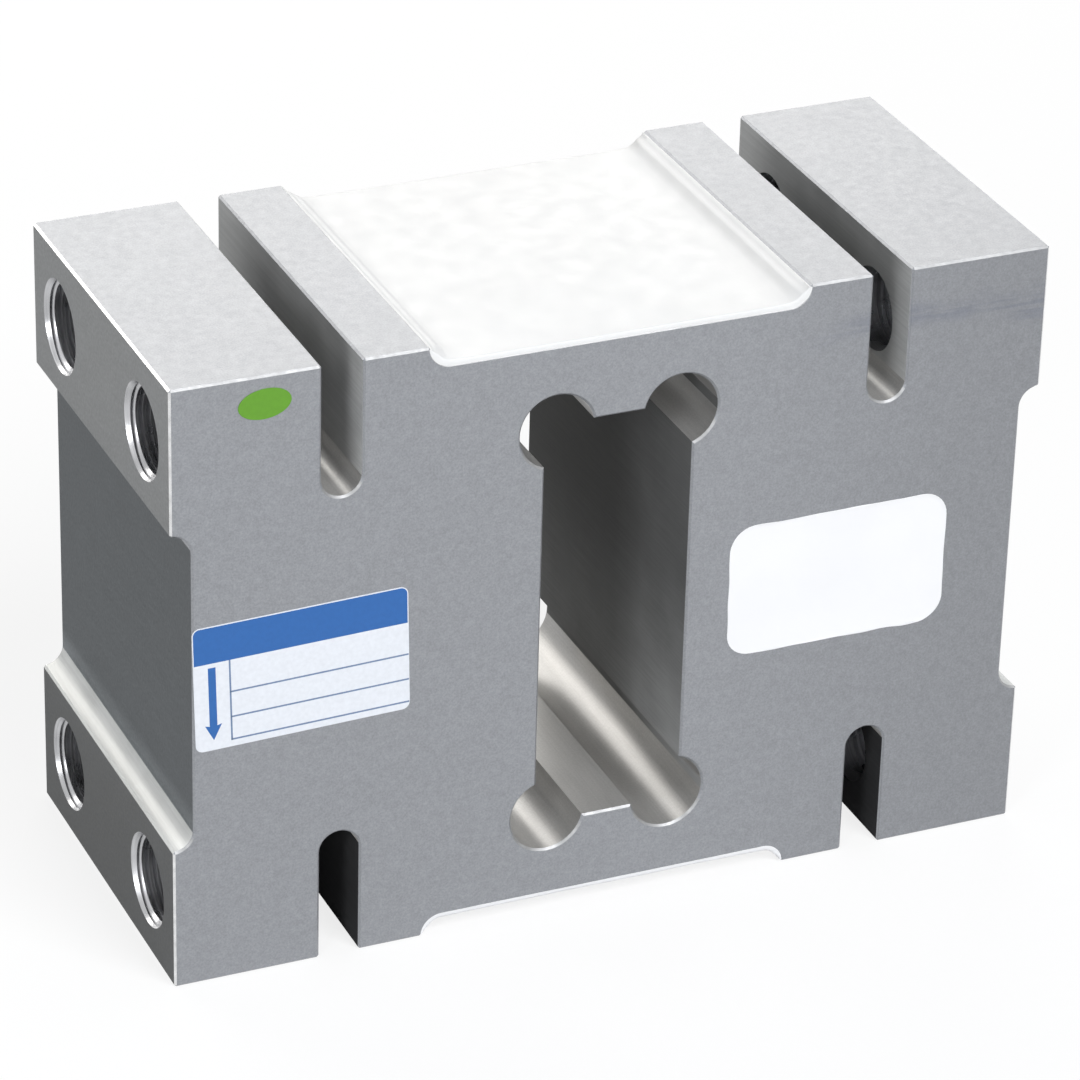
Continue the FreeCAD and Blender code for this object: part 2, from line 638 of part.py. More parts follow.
def make_coat_blank(face):
    """A silicone coat before what it covers is taken out: domed both ways, thin towards all its edges."""
    body = new_body(f"{face}_coat_blank")
    seat_on_floor(body, face)
    pad(body, coat_section(body), "coat", "body_width", middle=True)

    # the dome also falls off to front and back: an arc from edge to edge, and what lies above it goes
    slope = new_sketch(body, "slope_outline", "YZ_Plane")
    reach, above = value("body_width / 2"), value("recess_depth")
    edge, crown = value("coat_edge"), value("coat_middle")
    dome = Part.Arc(Vector(reach, edge, 0), Vector(0, crown, 0), Vector(-reach, edge, 0))
    arc = slope.addGeometry(dome)
    left = slope.addGeometry(Part.LineSegment(Vector(-reach, edge, 0), Vector(-reach, above, 0)))
    top = slope.addGeometry(Part.LineSegment(Vector(-reach, above, 0), Vector(reach, above, 0)))
    right = slope.addGeometry(Part.LineSegment(Vector(reach, above, 0), Vector(reach, edge, 0)))
    outline = [arc, left, top, right]
    for line, after in zip(outline, outline[1:] + outline[:1]):
        slope.addConstraint(Sketcher.Constraint("Coincident", line, 2, after, 1))
    place_point(slope, left, 1, "-body_width / 2", "coat_edge")
    place_point(slope, top, 1, "-body_width / 2", "recess_depth")
    place_point(slope, top, 2, "body_width / 2", "recess_depth")
    place_point(slope, right, 2, "body_width / 2", "coat_edge")
    dimension(slope, "Radius", (arc,), arch_radius("(body_width / 2)"))
    doc.recompute()
    before = body.Shape.Volume
    cut = body.newObject("PartDesign::Pocket", "slope_to_front_and_back")
    cut.Profile = slope
    cut.SideType = "Symmetric"
    bind(cut, Length="recess_length - 2 * recess_corner")
    doc.recompute()
    assert body.Shape.Volume < before - 1, "the coat isn't domed to front and back"
    return body


def make_potting_blank():
    """The cavity's filling before what it covers is taken out."""
    body = new_body("potting_blank")
    bind(body, Placement__Base__z="body_height / 2")
    outline = new_sketch(body, "potting_outline", "XZ_Plane", "body_width / 2 - cavity_depth")
    half = "cavity_height / 2"
    add_rounded_rectangle(outline, "cavity_left", "cavity_right", f"-{half}", half, "cavity_corner")
    pad(body, outline, "potting", "cavity_depth - potting_dip")
    return body


# ---------------------------------------------------------------- compensation board


def make_board():
    """The circuit board on the cavity floor, with lands for gauge leads, cable cores and resistors."""
    body = new_body("compensation_board")
    bind(body, Placement__Base__y="cavity_depth - body_width / 2", Placement__Base__z="body_height / 2")
    middle = "(cavity_left + cavity_right) / 2"
    left, right = f"{middle} - board_length / 2", f"{middle} + board_length / 2"
    outline = new_sketch(body, "board_outline", "XZ_Plane")
    add_rounded_rectangle(outline, left, right, "-board_height / 2", "board_height / 2", "board_corner")
    pad(body, outline, "laminate", "board_thickness")
    centres = [("core_x", f"{row} * core_pitch") for row in range(-2, 3)]
    for row in range(3):
        inset = f"(cavity_height / 2 - land_start - {row} * land_pitch)"
        centres += [("way_x", inset), ("way_x", f"-{inset}")]
    half = "land_size / 2"
    lands = [(f"{x} - {half}", f"{x} + {half}", f"{z} - {half}", f"{z} + {half}") for x, z in centres]
    for _, x, z, length, width in RESISTORS:
        for end in (x - length / 2, x + length / 2):
            lands.append((f"{end} - cap_length", f"{end} + cap_length", z - width / 2, z + width / 2))
    raised_strips(body, "lands", "XZ_Plane", "board_thickness", lands)
    return body


def make_resistor(label, x, z, length, width):
    """A chip resistor, flat on its two lands: a ceramic block with metal caps over its ends."""
    body = new_body(label)
    bind(
        body,
        Placement__Base__x=x,
        Placement__Base__y="cavity_depth - body_width / 2 - board_thickness - foil",
        Placement__Base__z=f"body_height / 2 + ({z})",
    )
    half, rise = length / 2, width / 2
    ceramic = new_sketch(body, "ceramic_outline", "XZ_Plane")
    add_rectangle(ceramic, -half, half, -rise, rise)
    pad(body, ceramic, "ceramic", "chip_height")
    caps = new_sketch(body, "cap_outlines", "XZ_Plane")
    low, high = f"-{rise} - cap_skin", f"{rise} + cap_skin"
    add_rectangle(caps, f"-{half} - cap_skin", f"-{half} + cap_length", low, high)
    add_rectangle(caps, f"{half} - cap_length", f"{half} + cap_skin", low, high)
    pad(body, caps, "caps", "chip_height + cap_skin")
    return body


# ---------------------------------------------------------------- cable gland


def seat_in_inlet(body, depth):
    """Turn a piece's z axis out of the right end, and start it at a depth below the end recess."""
    body.Placement = FreeCAD.Placement(Vector(), FreeCAD.Rotation(Y_AXIS, 90))
    bind(
        body,
        Placement__Base__x=f"body_length / 2 - recess_depth - ({depth})",
        Placement__Base__y="way_y",
        Placement__Base__z="body_height / 2",
    )


def make_ring(label, depth, length, hole):
    """The rubber sleeve or the thrust washer."""
    body = new_body(label)
    seat_in_inlet(body, depth)
    outline = new_sketch(body, "ring_outline", "XY_Plane")
    add_circle(outline, 0, 0, "gland_fit")
    add_circle(outline, 0, 0, hole)
    pad(body, outline, "ring", length)
    return body


def make_gland_screw():
    """A hollow screw: plain shank for the thread, hexagon head with chamfered corners."""
    body = new_body("gland_screw")
    seat_in_inlet(body, 0)
    shank_length = "(gland_depth - sleeve_length - washer_thickness)"
    shank = new_sketch(body, "shank_outline", "XY_Plane", f"-{shank_length}")
    add_circle(shank, 0, 0, "gland_fit")
    pad(body, shank, "shank", shank_length)
    hexagon = new_sketch(body, "hexagon_outline", "XY_Plane")
    reach = "hex_size / 2 / cos(30)"
    add_polygon(hexagon, [(f"{reach} * cos({a})", f"{reach} * sin({a})") for a in range(0, 360, 60)])
    pad(body, hexagon, "head", "hex_height")
    # a triangle from the flat's rim out past the corners and down along the slope
    corners = new_sketch(body, "corner_chamfer_profile", "XZ_Plane")
    flat, past = "hex_face / 2", "hex_size"
    low = f"hex_height - ({past} - {flat}) * tan(hex_slope)"
    add_polygon(corners, [(flat, "hex_height"), (past, "hex_height"), (past, low)])
    doc.recompute()
    before = body.Shape.Volume
    groove = body.newObject("PartDesign::Groove", "corner_chamfer")
    groove.Profile = corners
    groove.ReferenceAxis = (corners, ["V_Axis"])
    groove.Angle = 360
    doc.recompute()
    assert body.Shape.Volume < before - 0.1, "the hexagon's corners aren't chamfered"
    bore = new_sketch(body, "bore_outline", "XY_Plane")
    add_circle(bore, 0, 0, "gland_hole")
    pocket(body, bore, "cable_way")
    return body


# ---------------------------------------------------------------- label and sticker


def seat_on_front(thing, x, z, tilt):
    """Stick a piece, drawn upright about its middle, on the front face."""
    thing.Placement = FreeCAD.Placement(Vector(), FreeCAD.Rotation(Y_AXIS, -value(tilt)))
    bind(thing, Placement__Base__x=x, Placement__Base__y="-body_width / 2", Placement__Base__z=z)


def make_label():
    body = new_body("front_label")
    seat_on_front(body, "label_x", "label_z", "label_tilt")
    outline = new_sketch(body, "label_outline", "XZ_Plane")
    half, rise = "label_width / 2", "label_height / 2"
    add_rounded_rectangle(outline, f"-{half}", half, f"-{rise}", rise, "label_corner")
    pad(body, outline, "label", "label_thickness")
    return body


def make_sticker():
    ellipse = doc.addObject("Part::Ellipse", "sticker_outline")
    bind(ellipse, MajorRadius="sticker_radius_long", MinorRadius="sticker_radius_short")
    sticker = doc.addObject("Part::Extrusion", "oval_sticker")
    sticker.Label = "oval_sticker"
    sticker.Base = ellipse
    sticker.DirMode = "Custom"
    sticker.Dir = Z_AXIS
    sticker.Solid = True
    bind(sticker, LengthFwd="label_thickness")
    upright = FreeCAD.Rotation(X_AXIS, 90)
    turned_left = FreeCAD.Rotation(Y_AXIS, -value("sticker_tilt"))
    sticker.Placement = FreeCAD.Placement(Vector(), turned_left * upright)
    bind(
        sticker,
        Placement__Base__x="sticker_x",
        Placement__Base__y="-body_width / 2",
        Placement__Base__z="sticker_z",
    )
    return sticker


# ---------------------------------------------------------------- assembly

pieces = [make_sensing_element()]
board = make_board()
resistors = [make_resistor(*row) for row in RESISTORS]
all_wires = []
for face, way in FACES:
    gauges = [make_gauge(face, name, side) for name, side in SIDES]
    terminals = [make_terminal(face, name, side) for name, side in SIDES]
    wires = make_lead_wires(face, way, terminals)
    coat = cut_away(f"{face}_silicone_coat", make_coat_blank(face), gauges + terminals + [wires])
    all_wires.append(wires)
    pieces += gauges + terminals + [wires, coat]
potting = cut_away("side_potting", make_potting_blank(), [board] + resistors + all_wires)
pieces += [board, potting] + resistors
pieces += [
    make_ring("gland_sleeve", "gland_depth", "sleeve_length", "sleeve_hole"),
    make_ring("gland_washer", "gland_depth - sleeve_length", "washer_thickness", "gland_hole"),
    make_gland_screw(),
    make_label(),
    make_sticker(),
]
doc.recompute()

failed = [thing.Label for thing in doc.Objects if {"Invalid", "Error"} & set(thing.State)]
assert not failed, f"failed to build: {failed}"
os.makedirs("parts", exist_ok=True)
for piece in pieces:
    shape = piece.Shape
    assert not shape.isNull() and shape.isValid() and shape.Solids, f"{piece.Label} has no sound solid"
    shape.exportStep(f"parts/{piece.Label}.step")
    print(f"{piece.Label}: {len(shape.Solids)} solid(s), {shape.Volume:.2f} mm3")
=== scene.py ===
"""Looks of the single point load cell: threads in its mounting holes, silicone spread over its gauges, a
poured side potting, a printed label, machined and plated metal, and plain studio light.

Metres, in the part's own frame: +X along the cell to the gland end, +Y to the back, +Z up.
"""

import json
import math
from collections import namedtuple

import bmesh
import bpy
from mathutils import Matrix, Quaternion, Vector, noise


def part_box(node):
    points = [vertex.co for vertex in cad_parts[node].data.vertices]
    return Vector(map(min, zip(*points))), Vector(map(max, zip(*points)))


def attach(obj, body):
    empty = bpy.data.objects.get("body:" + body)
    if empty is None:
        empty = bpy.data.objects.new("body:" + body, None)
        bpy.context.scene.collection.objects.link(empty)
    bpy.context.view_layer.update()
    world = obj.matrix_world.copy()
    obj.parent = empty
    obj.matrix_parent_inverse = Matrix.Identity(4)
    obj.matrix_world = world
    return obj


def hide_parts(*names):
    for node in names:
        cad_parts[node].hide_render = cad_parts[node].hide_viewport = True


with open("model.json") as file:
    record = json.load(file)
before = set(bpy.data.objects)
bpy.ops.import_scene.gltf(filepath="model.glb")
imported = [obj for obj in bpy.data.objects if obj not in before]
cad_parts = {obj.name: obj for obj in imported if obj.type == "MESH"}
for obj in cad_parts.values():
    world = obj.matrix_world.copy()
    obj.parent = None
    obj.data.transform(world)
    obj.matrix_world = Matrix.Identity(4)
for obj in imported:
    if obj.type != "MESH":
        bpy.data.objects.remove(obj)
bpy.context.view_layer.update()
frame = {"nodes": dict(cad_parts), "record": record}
nodes = frame["nodes"]

MM = 0.001
BODY = "root"

_, block_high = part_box("sensing_element")
HALF_LENGTH = block_high.x
HALF_WIDTH = block_high.y
HEIGHT = block_high.z
MIDDLE = HEIGHT / 2
EDGE_BREAK = 0.4 * MM
# the recesses on top, underside and both ends, and where an end's flat begins above its lower fillet
RECESS_CORNER = 4 * MM
RECESS_DEPTH = 4 * MM
END_RECESS_FOOT = 33.5 * MM


# ---------------------------------------------------------------- node helpers


class Paint:
    """A node material being put together: a principled shader with its output.

    The sheen level is the strength of its clear reflection, and grazing dims what it reflects edge-on."""

    def __init__(self, name, metallic=0.0, roughness=0.5, sheen_level=0.5, grazing=1.0):
        self.material = bpy.data.materials.new(name)
        self.material.use_nodes = True
        self.tree = self.material.node_tree
        self.tree.nodes.clear()
        self.shader = self.tree.nodes.new("ShaderNodeBsdfPrincipled")
        self.shader.inputs["Metallic"].default_value = metallic
        self.shader.inputs["Roughness"].default_value = roughness
        self.shader.inputs["Specular IOR Level"].default_value = sheen_level
        self.shader.inputs["Specular Tint"].default_value = (grazing, grazing, grazing, 1.0)
        output = self.tree.nodes.new("ShaderNodeOutputMaterial")
        self.link(self.shader.outputs["BSDF"], output.inputs["Surface"])
        self.place = self.tree.nodes.new("ShaderNodeTexCoord").outputs["Object"]

    def link(self, source, target):
        self.tree.links.new(source, target)

    def node(self, kind, settings=(), **inputs):
        """A node with its settings and inputs. A socket is linked, anything else is set.

        An input's name stands with _ for its spaces, or it is _ and the input's number."""
        made = self.tree.nodes.new(kind)
        for name, choice in dict(settings).items():
            setattr(made, name, choice)
        for name, given in inputs.items():
            socket = made.inputs[int(name[1:])] if name[0] == "_" else made.inputs[name.replace("_", " ")]
            if isinstance(given, bpy.types.NodeSocket):
                self.link(given, socket)
            else:
                socket.default_value = given
        return made

    def math(self, operation, first, second=0.0, third=0.0):
        settings = {"operation": operation}
        return self.node("ShaderNodeMath", settings, _0=first, _1=second, _2=third).outputs[0]

    def axes(self):
        """The place's x, y and z."""
        split = self.node("ShaderNodeSeparateXYZ", Vector=self.place)
        return split.outputs[0], split.outputs[1], split.outputs[2]

    def product(self, *factors):
        """Several sockets or numbers multiplied."""
        result = factors[0]
        for factor in factors[1:]:
            result = self.math("MULTIPLY", result, factor)
        return result

    def between(self, share, low, high):
        """A share from 0 to 1, turned into low to high."""
        return self.math("MULTIPLY_ADD", share, high - low, low)

    def stretched(self, scale):
        """The place, scaled by axis, for grain that runs one way."""
        return self.node("ShaderNodeMapping", Vector=self.place, Scale=scale).outputs[0]

    def noise(self, scale, detail=2.0, roughness=0.5, where=None):
        """Noise between 0 and 1, with that many features to the metre."""
        made = self.node("ShaderNodeTexNoise", Vector=where or self.place, Scale=scale, Detail=detail)
        made.inputs["Roughness"].default_value = roughness
        return made.outputs[0]

    def spread(self, source, low, high):
        """The middle of a noise, from 0.3 to 0.7, spread over low to high."""
        made = self.node("ShaderNodeMapRange", Value=source)
        for name, number in (("From Min", 0.3), ("From Max", 0.7), ("To Min", low), ("To Max", high)):
            made.inputs[name].default_value = number
        return made.outputs[0]

    def step(self, source, edge, softness):
        """0 below an edge and 1 above it."""
        made = self.node("ShaderNodeMapRange", {"interpolation_type": "SMOOTHSTEP"}, Value=source)
        made.inputs["From Min"].default_value = edge - softness / 2
        made.inputs["From Max"].default_value = edge + softness / 2
        return made.outputs[0]

    def mix(self, factor, first, second):
        """One colour turning into another."""
        made = self.node("ShaderNodeMix", {"data_type": "RGBA"})
        for socket, given in ((made.inputs[0], factor), (made.inputs[6], first), (made.inputs[7], second)):
            if isinstance(given, bpy.types.NodeSocket):
                self.link(given, socket)
            else:
                socket.default_value = given
        return made.outputs[2]

    def scaled(self, colour, factor):
        """A colour made lighter or darker by a factor socket."""
        made = self.node("ShaderNodeVectorMath", {"operation": "SCALE"}, _0=colour[:3])
        self.link(factor, made.inputs["Scale"])
        return made.outputs[0]

    def bump(self, height, depth):
        """Relief of that many metres between a height's 0 and 1."""
        made = self.node("ShaderNodeBump", Height=height, Distance=depth)
        self.link(made.outputs[0], self.shader.inputs["Normal"])

    def colour(self, source):
        self.link(source, self.shader.inputs["Base Color"])

    def rough(self, source):
        self.link(source, self.shader.inputs["Roughness"])


def rgb(red, green, blue):
    return (red, green, blue, 1.0)


# ---------------------------------------------------------------- materials

ALUMINIUM = rgb(0.295, 0.304, 0.322)
PAD_ALUMINIUM = rgb(0.35, 0.358, 0.362)
RELIEF_ALUMINIUM = rgb(0.17, 0.181, 0.19)
# painted light and shade: the milled slot and window walls are one finish, lighter in the upper slots,
# painted dark in the window, near black in the lower slots
SLOT_ALUMINIUM = rgb(0.40, 0.405, 0.405)
SHADED_SLOT_ALUMINIUM = rgb(0.06, 0.06, 0.062)
SHADED_WALL_ALUMINIUM = rgb(0.10, 0.101, 0.10)
REAMED_ALUMINIUM = rgb(0.43, 0.425, 0.415)
# painted highlight: far lighter than the end faces, for their lower fillets and a few upward chamfers
FILLET_HIGHLIGHT_ALUMINIUM = rgb(0.605, 0.615, 0.605)
# painted shade: the same white silicone as the potting and the bottom coat, toned darker on the top coat
# where the top takes more light
TOP_COAT_SHADED_WHITE = rgb(0.76, 0.76, 0.755)
POTTING_WHITE = rgb(0.86, 0.86, 0.87)
LABEL_WHITE = rgb(0.75, 0.775, 0.82)
LABEL_BLUE = rgb(0.018, 0.12, 0.385)
RULE_BLUE = rgb(0.15, 0.22, 0.36)
STICKER_GREEN = rgb(0.11, 0.30, 0.015)
RUBBED_METAL = rgb(0.15, 0.165, 0.215)
BARE_EDGE = rgb(0.74, 0.745, 0.75)
# painted shade: a darker copy of the bare edge, for the upward side chamfers
SHADED_EDGE_METAL = rgb(0.33, 0.333, 0.336)
TAPPED_METAL = rgb(0.56, 0.565, 0.58)
NICKEL = rgb(0.66, 0.63, 0.56)
RUBBER = rgb(0.02, 0.02, 0.022)
LEAD_RED = rgb(0.55, 0.05, 0.03)
LAMINATE_GREEN = rgb(0.02, 0.17, 0.07)
GLAZE = rgb(0.03, 0.03, 0.035)
FILM_AMBER = rgb(0.62, 0.32, 0.06)
CONSTANTAN = rgb(0.55, 0.50, 0.44)
COPPER = rgb(0.70, 0.36, 0.22)
SOLDER = rgb(0.62, 0.63, 0.64)


def from_mid_height(paint):
    """Distance above or below mid height, the same for the top and the bottom set."""
    return paint.math("ABSOLUTE", paint.math("SUBTRACT", paint.axes()[2], MIDDLE))


def towards_front(paint):
    return paint.math("MULTIPLY", paint.axes()[1], -1.0)


# something rubbed along the front, in a wandering band high on the right
STREAK_LEVEL = HEIGHT - 10.5 * MM
STREAK_WANDER = 10 * MM
STREAK_HALF_HEIGHT, STREAK_SOFTNESS = 2.2 * MM, 4 * MM
STREAK_START, STREAK_FADE = 44 * MM, 24 * MM
# painted shade: the front darkens a little over this stretch to the right
RIGHT_SHADE_MIDDLE, RIGHT_SHADE_FADE = 50 * MM, 80 * MM


def rubbed_streaks(paint, on_front):
    """How much the rubbed band covers."""
    x, _, z = paint.axes()
    wander = paint.product(paint.math("SUBTRACT", paint.noise(70, detail=3), 0.5), STREAK_WANDER)
    offset = paint.math("ADD", paint.math("SUBTRACT", z, STREAK_LEVEL), wander)
    beyond = paint.step(paint.math("ABSOLUTE", offset), STREAK_HALF_HEIGHT, STREAK_SOFTNESS)
    band = paint.math("SUBTRACT", 1.0, beyond)
    streaks = paint.step(paint.noise(1.0, detail=4, where=paint.stretched((90, 90, 1400))), 0.5, 0.18)
    start = paint.step(x, STREAK_START, STREAK_FADE)
    return paint.product(band, paint.between(streaks, 0.1, 0.4), on_front, start)


def ground_aluminium():
    """The block's outer faces: fine even grain and faint clouds, and on the front the rubbed band and a
    painted shade that darkens it towards the right.
    """
    paint = Paint("ground_aluminium", metallic=0.5, roughness=0.42)
    grain = paint.noise(2800, detail=2, roughness=0.6)
    mottle = paint.noise(650, detail=3)
    on_front = paint.step(towards_front(paint), HALF_WIDTH - 0.2 * MM, 0.2 * MM)
    # painted shade on the front, darker towards the right
    right_shade = paint.product(on_front, paint.step(paint.axes()[0], RIGHT_SHADE_MIDDLE, RIGHT_SHADE_FADE))
    texture = paint.product(paint.spread(grain, 0.89, 1.11), paint.spread(mottle, 0.955, 1.045))
    metal = paint.scaled(ALUMINIUM, paint.product(texture, paint.between(right_shade, 1.02, 0.86)))
    paint.colour(paint.mix(rubbed_streaks(paint, on_front), metal, RUBBED_METAL))
    paint.rough(paint.spread(paint.noise(700, detail=3), 0.40, 0.46))
    paint.bump(grain, 0.012 * MM)
    return paint.material


# painted highlight: the band above an end's lower fillet, how much lighter it is, how far it reaches and how
# softly it ends
BAND_HIGHLIGHT = 0.55
BAND_HIGHLIGHT_REACH, BAND_HIGHLIGHT_SOFTNESS = 2.6 * MM, 5.2 * MM


def end_aluminium(name, colour, foot_shade):
    """Faces of the two ends: milled, so duller than the ground faces, with painted shade by foot_shade
    towards the foot.

    Above the lower fillet a lighter band is a painted highlight."""
    paint = Paint(name, metallic=0.88, roughness=0.3, sheen_level=0.15, grazing=0.4)
    grain = paint.noise(1500, detail=3, roughness=0.6)
    brushed = paint.noise(1.0, detail=2, where=paint.stretched((400, 160, 1500)))
    height = paint.axes()[2]
    # painted shade: darker by foot_shade towards the foot
    rise = paint.between(paint.step(height, MIDDLE, 0.8 * HEIGHT), foot_shade, 1.0)
    from_fillet = paint.math("ABSOLUTE", paint.math("SUBTRACT", height, END_RECESS_FOOT))
    beyond_band = paint.step(from_fillet, BAND_HIGHLIGHT_REACH, BAND_HIGHLIGHT_SOFTNESS)
    # the painted shade with the painted highlight band added
    lift = paint.math("ADD", rise, paint.between(beyond_band, BAND_HIGHLIGHT, 0.0))
    shades = (paint.spread(grain, 0.87, 1.13), paint.spread(brushed, 0.96, 1.04), lift)
    paint.colour(paint.scaled(colour, paint.product(*shades)))
    paint.rough(paint.spread(brushed, 0.28, 0.33))
    paint.bump(grain, 0.01 * MM)
    return paint.material


def bright_edge(name, colour, metallic, roughness):
    """Edges where the deburring tool left bare metal; the darker copy for the upward side chamfers is
    painted shade.
    """
    paint = Paint(name, metallic=metallic, roughness=roughness)
    paint.colour(paint.scaled(colour, paint.spread(paint.noise(500), 0.85, 1.1)))
    paint.rough(paint.spread(paint.noise(1500), roughness - 0.06, roughness + 0.06))
    return paint.material


def bored_metal():
    """Tapped holes and their mouths: bare metal with turned marks round the axis."""
    paint = Paint("bored_metal", metallic=1.0, roughness=0.3)
    rings = paint.noise(1.0, detail=2, where=paint.stretched((3500, 90, 90)))
    patches = paint.noise(130, detail=2)
    shade = paint.product(paint.spread(rings, 0.85, 1.08), paint.spread(patches, 0.75, 1.1))
    paint.colour(paint.scaled(TAPPED_METAL, shade))
    paint.rough(paint.spread(patches, 0.24, 0.36))
    paint.bump(rings, 0.006 * MM)
    return paint.material


# painted light: walls grow lighter towards the foot over this stretch
FOOT_LIGHT_MIDDLE, FOOT_LIGHT_FADE = 45 * MM, 50 * MM


def milled_wall(name, colour, metallic, grazing, sheen_level=0.1, painted_foot_light=1.0, painted_front_light=1.0, reach=MM):
    """Flat walls of slots and window: dull from the cutter, with its long marks through the block.

    The lifts are painted light: how much lighter they grow towards the foot, and over a reach behind the
    front."""
    paint = Paint(name, metallic=metallic, roughness=0.45, sheen_level=sheen_level, grazing=grazing)
    marks = paint.noise(1.0, detail=3, where=paint.stretched((2400, 60, 2400)))
    clouds = paint.noise(70, detail=3)
    # painted light: lighter towards the foot and over a reach behind the front
    rise = paint.step(paint.axes()[2], FOOT_LIGHT_MIDDLE, FOOT_LIGHT_FADE)
    near_front = paint.step(towards_front(paint), HALF_WIDTH - reach / 2, reach)
    lift = paint.product(paint.between(rise, painted_foot_light, 1.0), paint.between(near_front, 1.0, painted_front_light))
    shade = paint.product(paint.spread(marks, 0.93, 1.06), paint.spread(clouds, 0.88, 1.1), lift)
    paint.colour(paint.scaled(colour, shade))
    paint.rough(paint.spread(clouds, 0.38, 0.5))
    paint.bump(marks, 0.008 * MM)
    return paint.material


def reamed_metal():
    """Round stretches of slots and window and the floors between: brighter, streaked along the block."""
    paint = Paint("reamed_metal", metallic=0.6, roughness=0.38)
    marks = paint.noise(1.0, detail=3, where=paint.stretched((3200, 60, 3200)))
    grain = paint.noise(2500, detail=2)
    shade = paint.product(paint.spread(marks, 0.93, 1.06), paint.spread(grain, 0.94, 1.06))
    paint.colour(paint.scaled(REAMED_ALUMINIUM, shade))
    paint.rough(paint.spread(marks, 0.34, 0.44))
    paint.bump(marks, 0.008 * MM)
    return paint.material


def silicone(name, colour):
    """White room-temperature rubber, spread or poured: soft sheen, hardly any texture."""
    paint = Paint(name, roughness=0.42, sheen_level=0.3)
    clouds = paint.noise(60, detail=3)
    paint.colour(paint.scaled(colour, paint.spread(clouds, 0.98, 1.01)))
    paint.rough(paint.spread(paint.noise(220, detail=3), 0.36, 0.5))
    paint.bump(paint.noise(300, detail=3), 0.03 * MM)
    return paint.material


def printed_film(name, colour, roughness=0.32):
    """Printed label film: even colour with a trace of the press's unevenness, and a light gloss."""
    paint = Paint(name, roughness=roughness)
    paint.colour(paint.scaled(colour, paint.spread(paint.noise(1200, detail=3), 0.96, 1.03)))
    paint.rough(paint.spread(paint.noise(300, detail=1), roughness - 0.02, roughness + 0.03))
    return paint.material


def plated(name, colour, roughness):
    """Turned and plated metal."""
    paint = Paint(name, metallic=1.0, roughness=roughness)
    turned = paint.noise(1.0, detail=3, where=paint.stretched((5000, 300, 300)))
    paint.colour(paint.scaled(colour, paint.spread(turned, 0.9, 1.04)))
    paint.rough(paint.spread(turned, roughness - 0.06, roughness + 0.1))
    paint.bump(turned, 0.01 * MM)
    return paint.material


def mottled(name, colour, roughness=0.5, metallic=0.0, scale=900):
    """A plain substance with fine unevenness."""
    paint = Paint(name, metallic=metallic, roughness=roughness)
    grain = paint.noise(scale, detail=3)
    paint.colour(paint.scaled(colour, paint.spread(grain, 0.88, 1.08)))
    paint.rough(paint.spread(grain, roughness - 0.08, roughness + 0.08))
    paint.bump(grain, 0.01 * MM)
    return paint.material


def layered(name, first, layers, axis_height):
    """Thin layers on one another: each later colour is a metal and starts at its own height."""
    paint = Paint(name, roughness=0.4)
    grain = paint.spread(paint.noise(2500, detail=2), 0.93, 1.05)
    height = axis_height(paint)
    colour = paint.scaled(first, grain)
    metal = 0.0
    for start, layer in layers:
        above = paint.step(height, start, 0.004 * MM)
        colour = paint.mix(above, colour, layer)
        metal = above if metal == 0.0 else paint.math("MAXIMUM", metal, above)
    paint.colour(colour)
    paint.link(metal, paint.shader.inputs["Metallic"])
    return paint.material


# ---------------------------------------------------------------- mesh helpers


def smooth_by_angle(bm, limit=math.radians(28)):
    """Round surfaces shade smoothly, and edges sharper than the limit stay crisp."""
    for face in bm.faces:
        face.smooth = True
    for edge in bm.edges:
        edge.smooth = len(edge.link_faces) == 2 and edge.calc_face_angle(0.0) < limit


def make_piece(name, bm, materials, stands_for=()):
    """A mesh object that rides on the cell with the finishes given, in place of the imported parts it stands
    for.
    """
    mesh = bpy.data.meshes.new(name)
    bm.normal_update()
    bm.to_mesh(mesh)
    bm.free()
    for material in materials:
        mesh.materials.append(material)
    piece = bpy.data.objects.new(name, mesh)
    bpy.context.scene.collection.objects.link(piece)
    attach(piece, BODY)
    if stands_for:
        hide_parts(*stands_for)
    return piece


def skin_rows(bm, rows, closed=False):
    """Faces between neighbouring rows of vertices."""
    for row, after in zip(rows, rows[1:]):
        count = len(row) if closed else len(row) - 1
        for index in range(count):
            other = (index + 1) % len(row)
            bm.faces.new((row[index], row[other], after[other], after[index]))


def skin_sheet(bm, over, under):
    """A closed body between two grids of vertices."""
    skin_rows(bm, over)
    skin_rows(bm, [row[::-1] for row in under])
    skin_rows(bm, [under[0], over[0]])
    skin_rows(bm, [over[-1], under[-1]])
    skin_rows(bm, [[row[0] for row in over], [row[0] for row in under]])
    skin_rows(bm, [[row[-1] for row in under], [row[-1] for row in over]])


# ---------------------------------------------------------------- the threaded block

THREAD_PITCH = 1.5 * MM
THREAD_MAJOR = 9.02 * MM
THREAD_CORE = 8.2 * MM
# the thread stops short of the slots
THREAD_DEPTH = 25 * MM
THREAD_STEPS = 56
CUT_PAST_FACE = 1 * MM
MOUTH_RADIUS = 9.3 * MM
MOUTH_DEPTH = 2.7 * MM
MOUTH_SLOPE = math.tan(math.radians(30))
MOUTH_STEPS = 96
# one pitch of the cutter: root, flank, crest, flank, as shares of the pitch
THREAD_PROFILE = [(0.0, THREAD_CORE), (0.25, THREAD_CORE), (0.57, THREAD_MAJOR), (0.68, THREAD_MAJOR)]


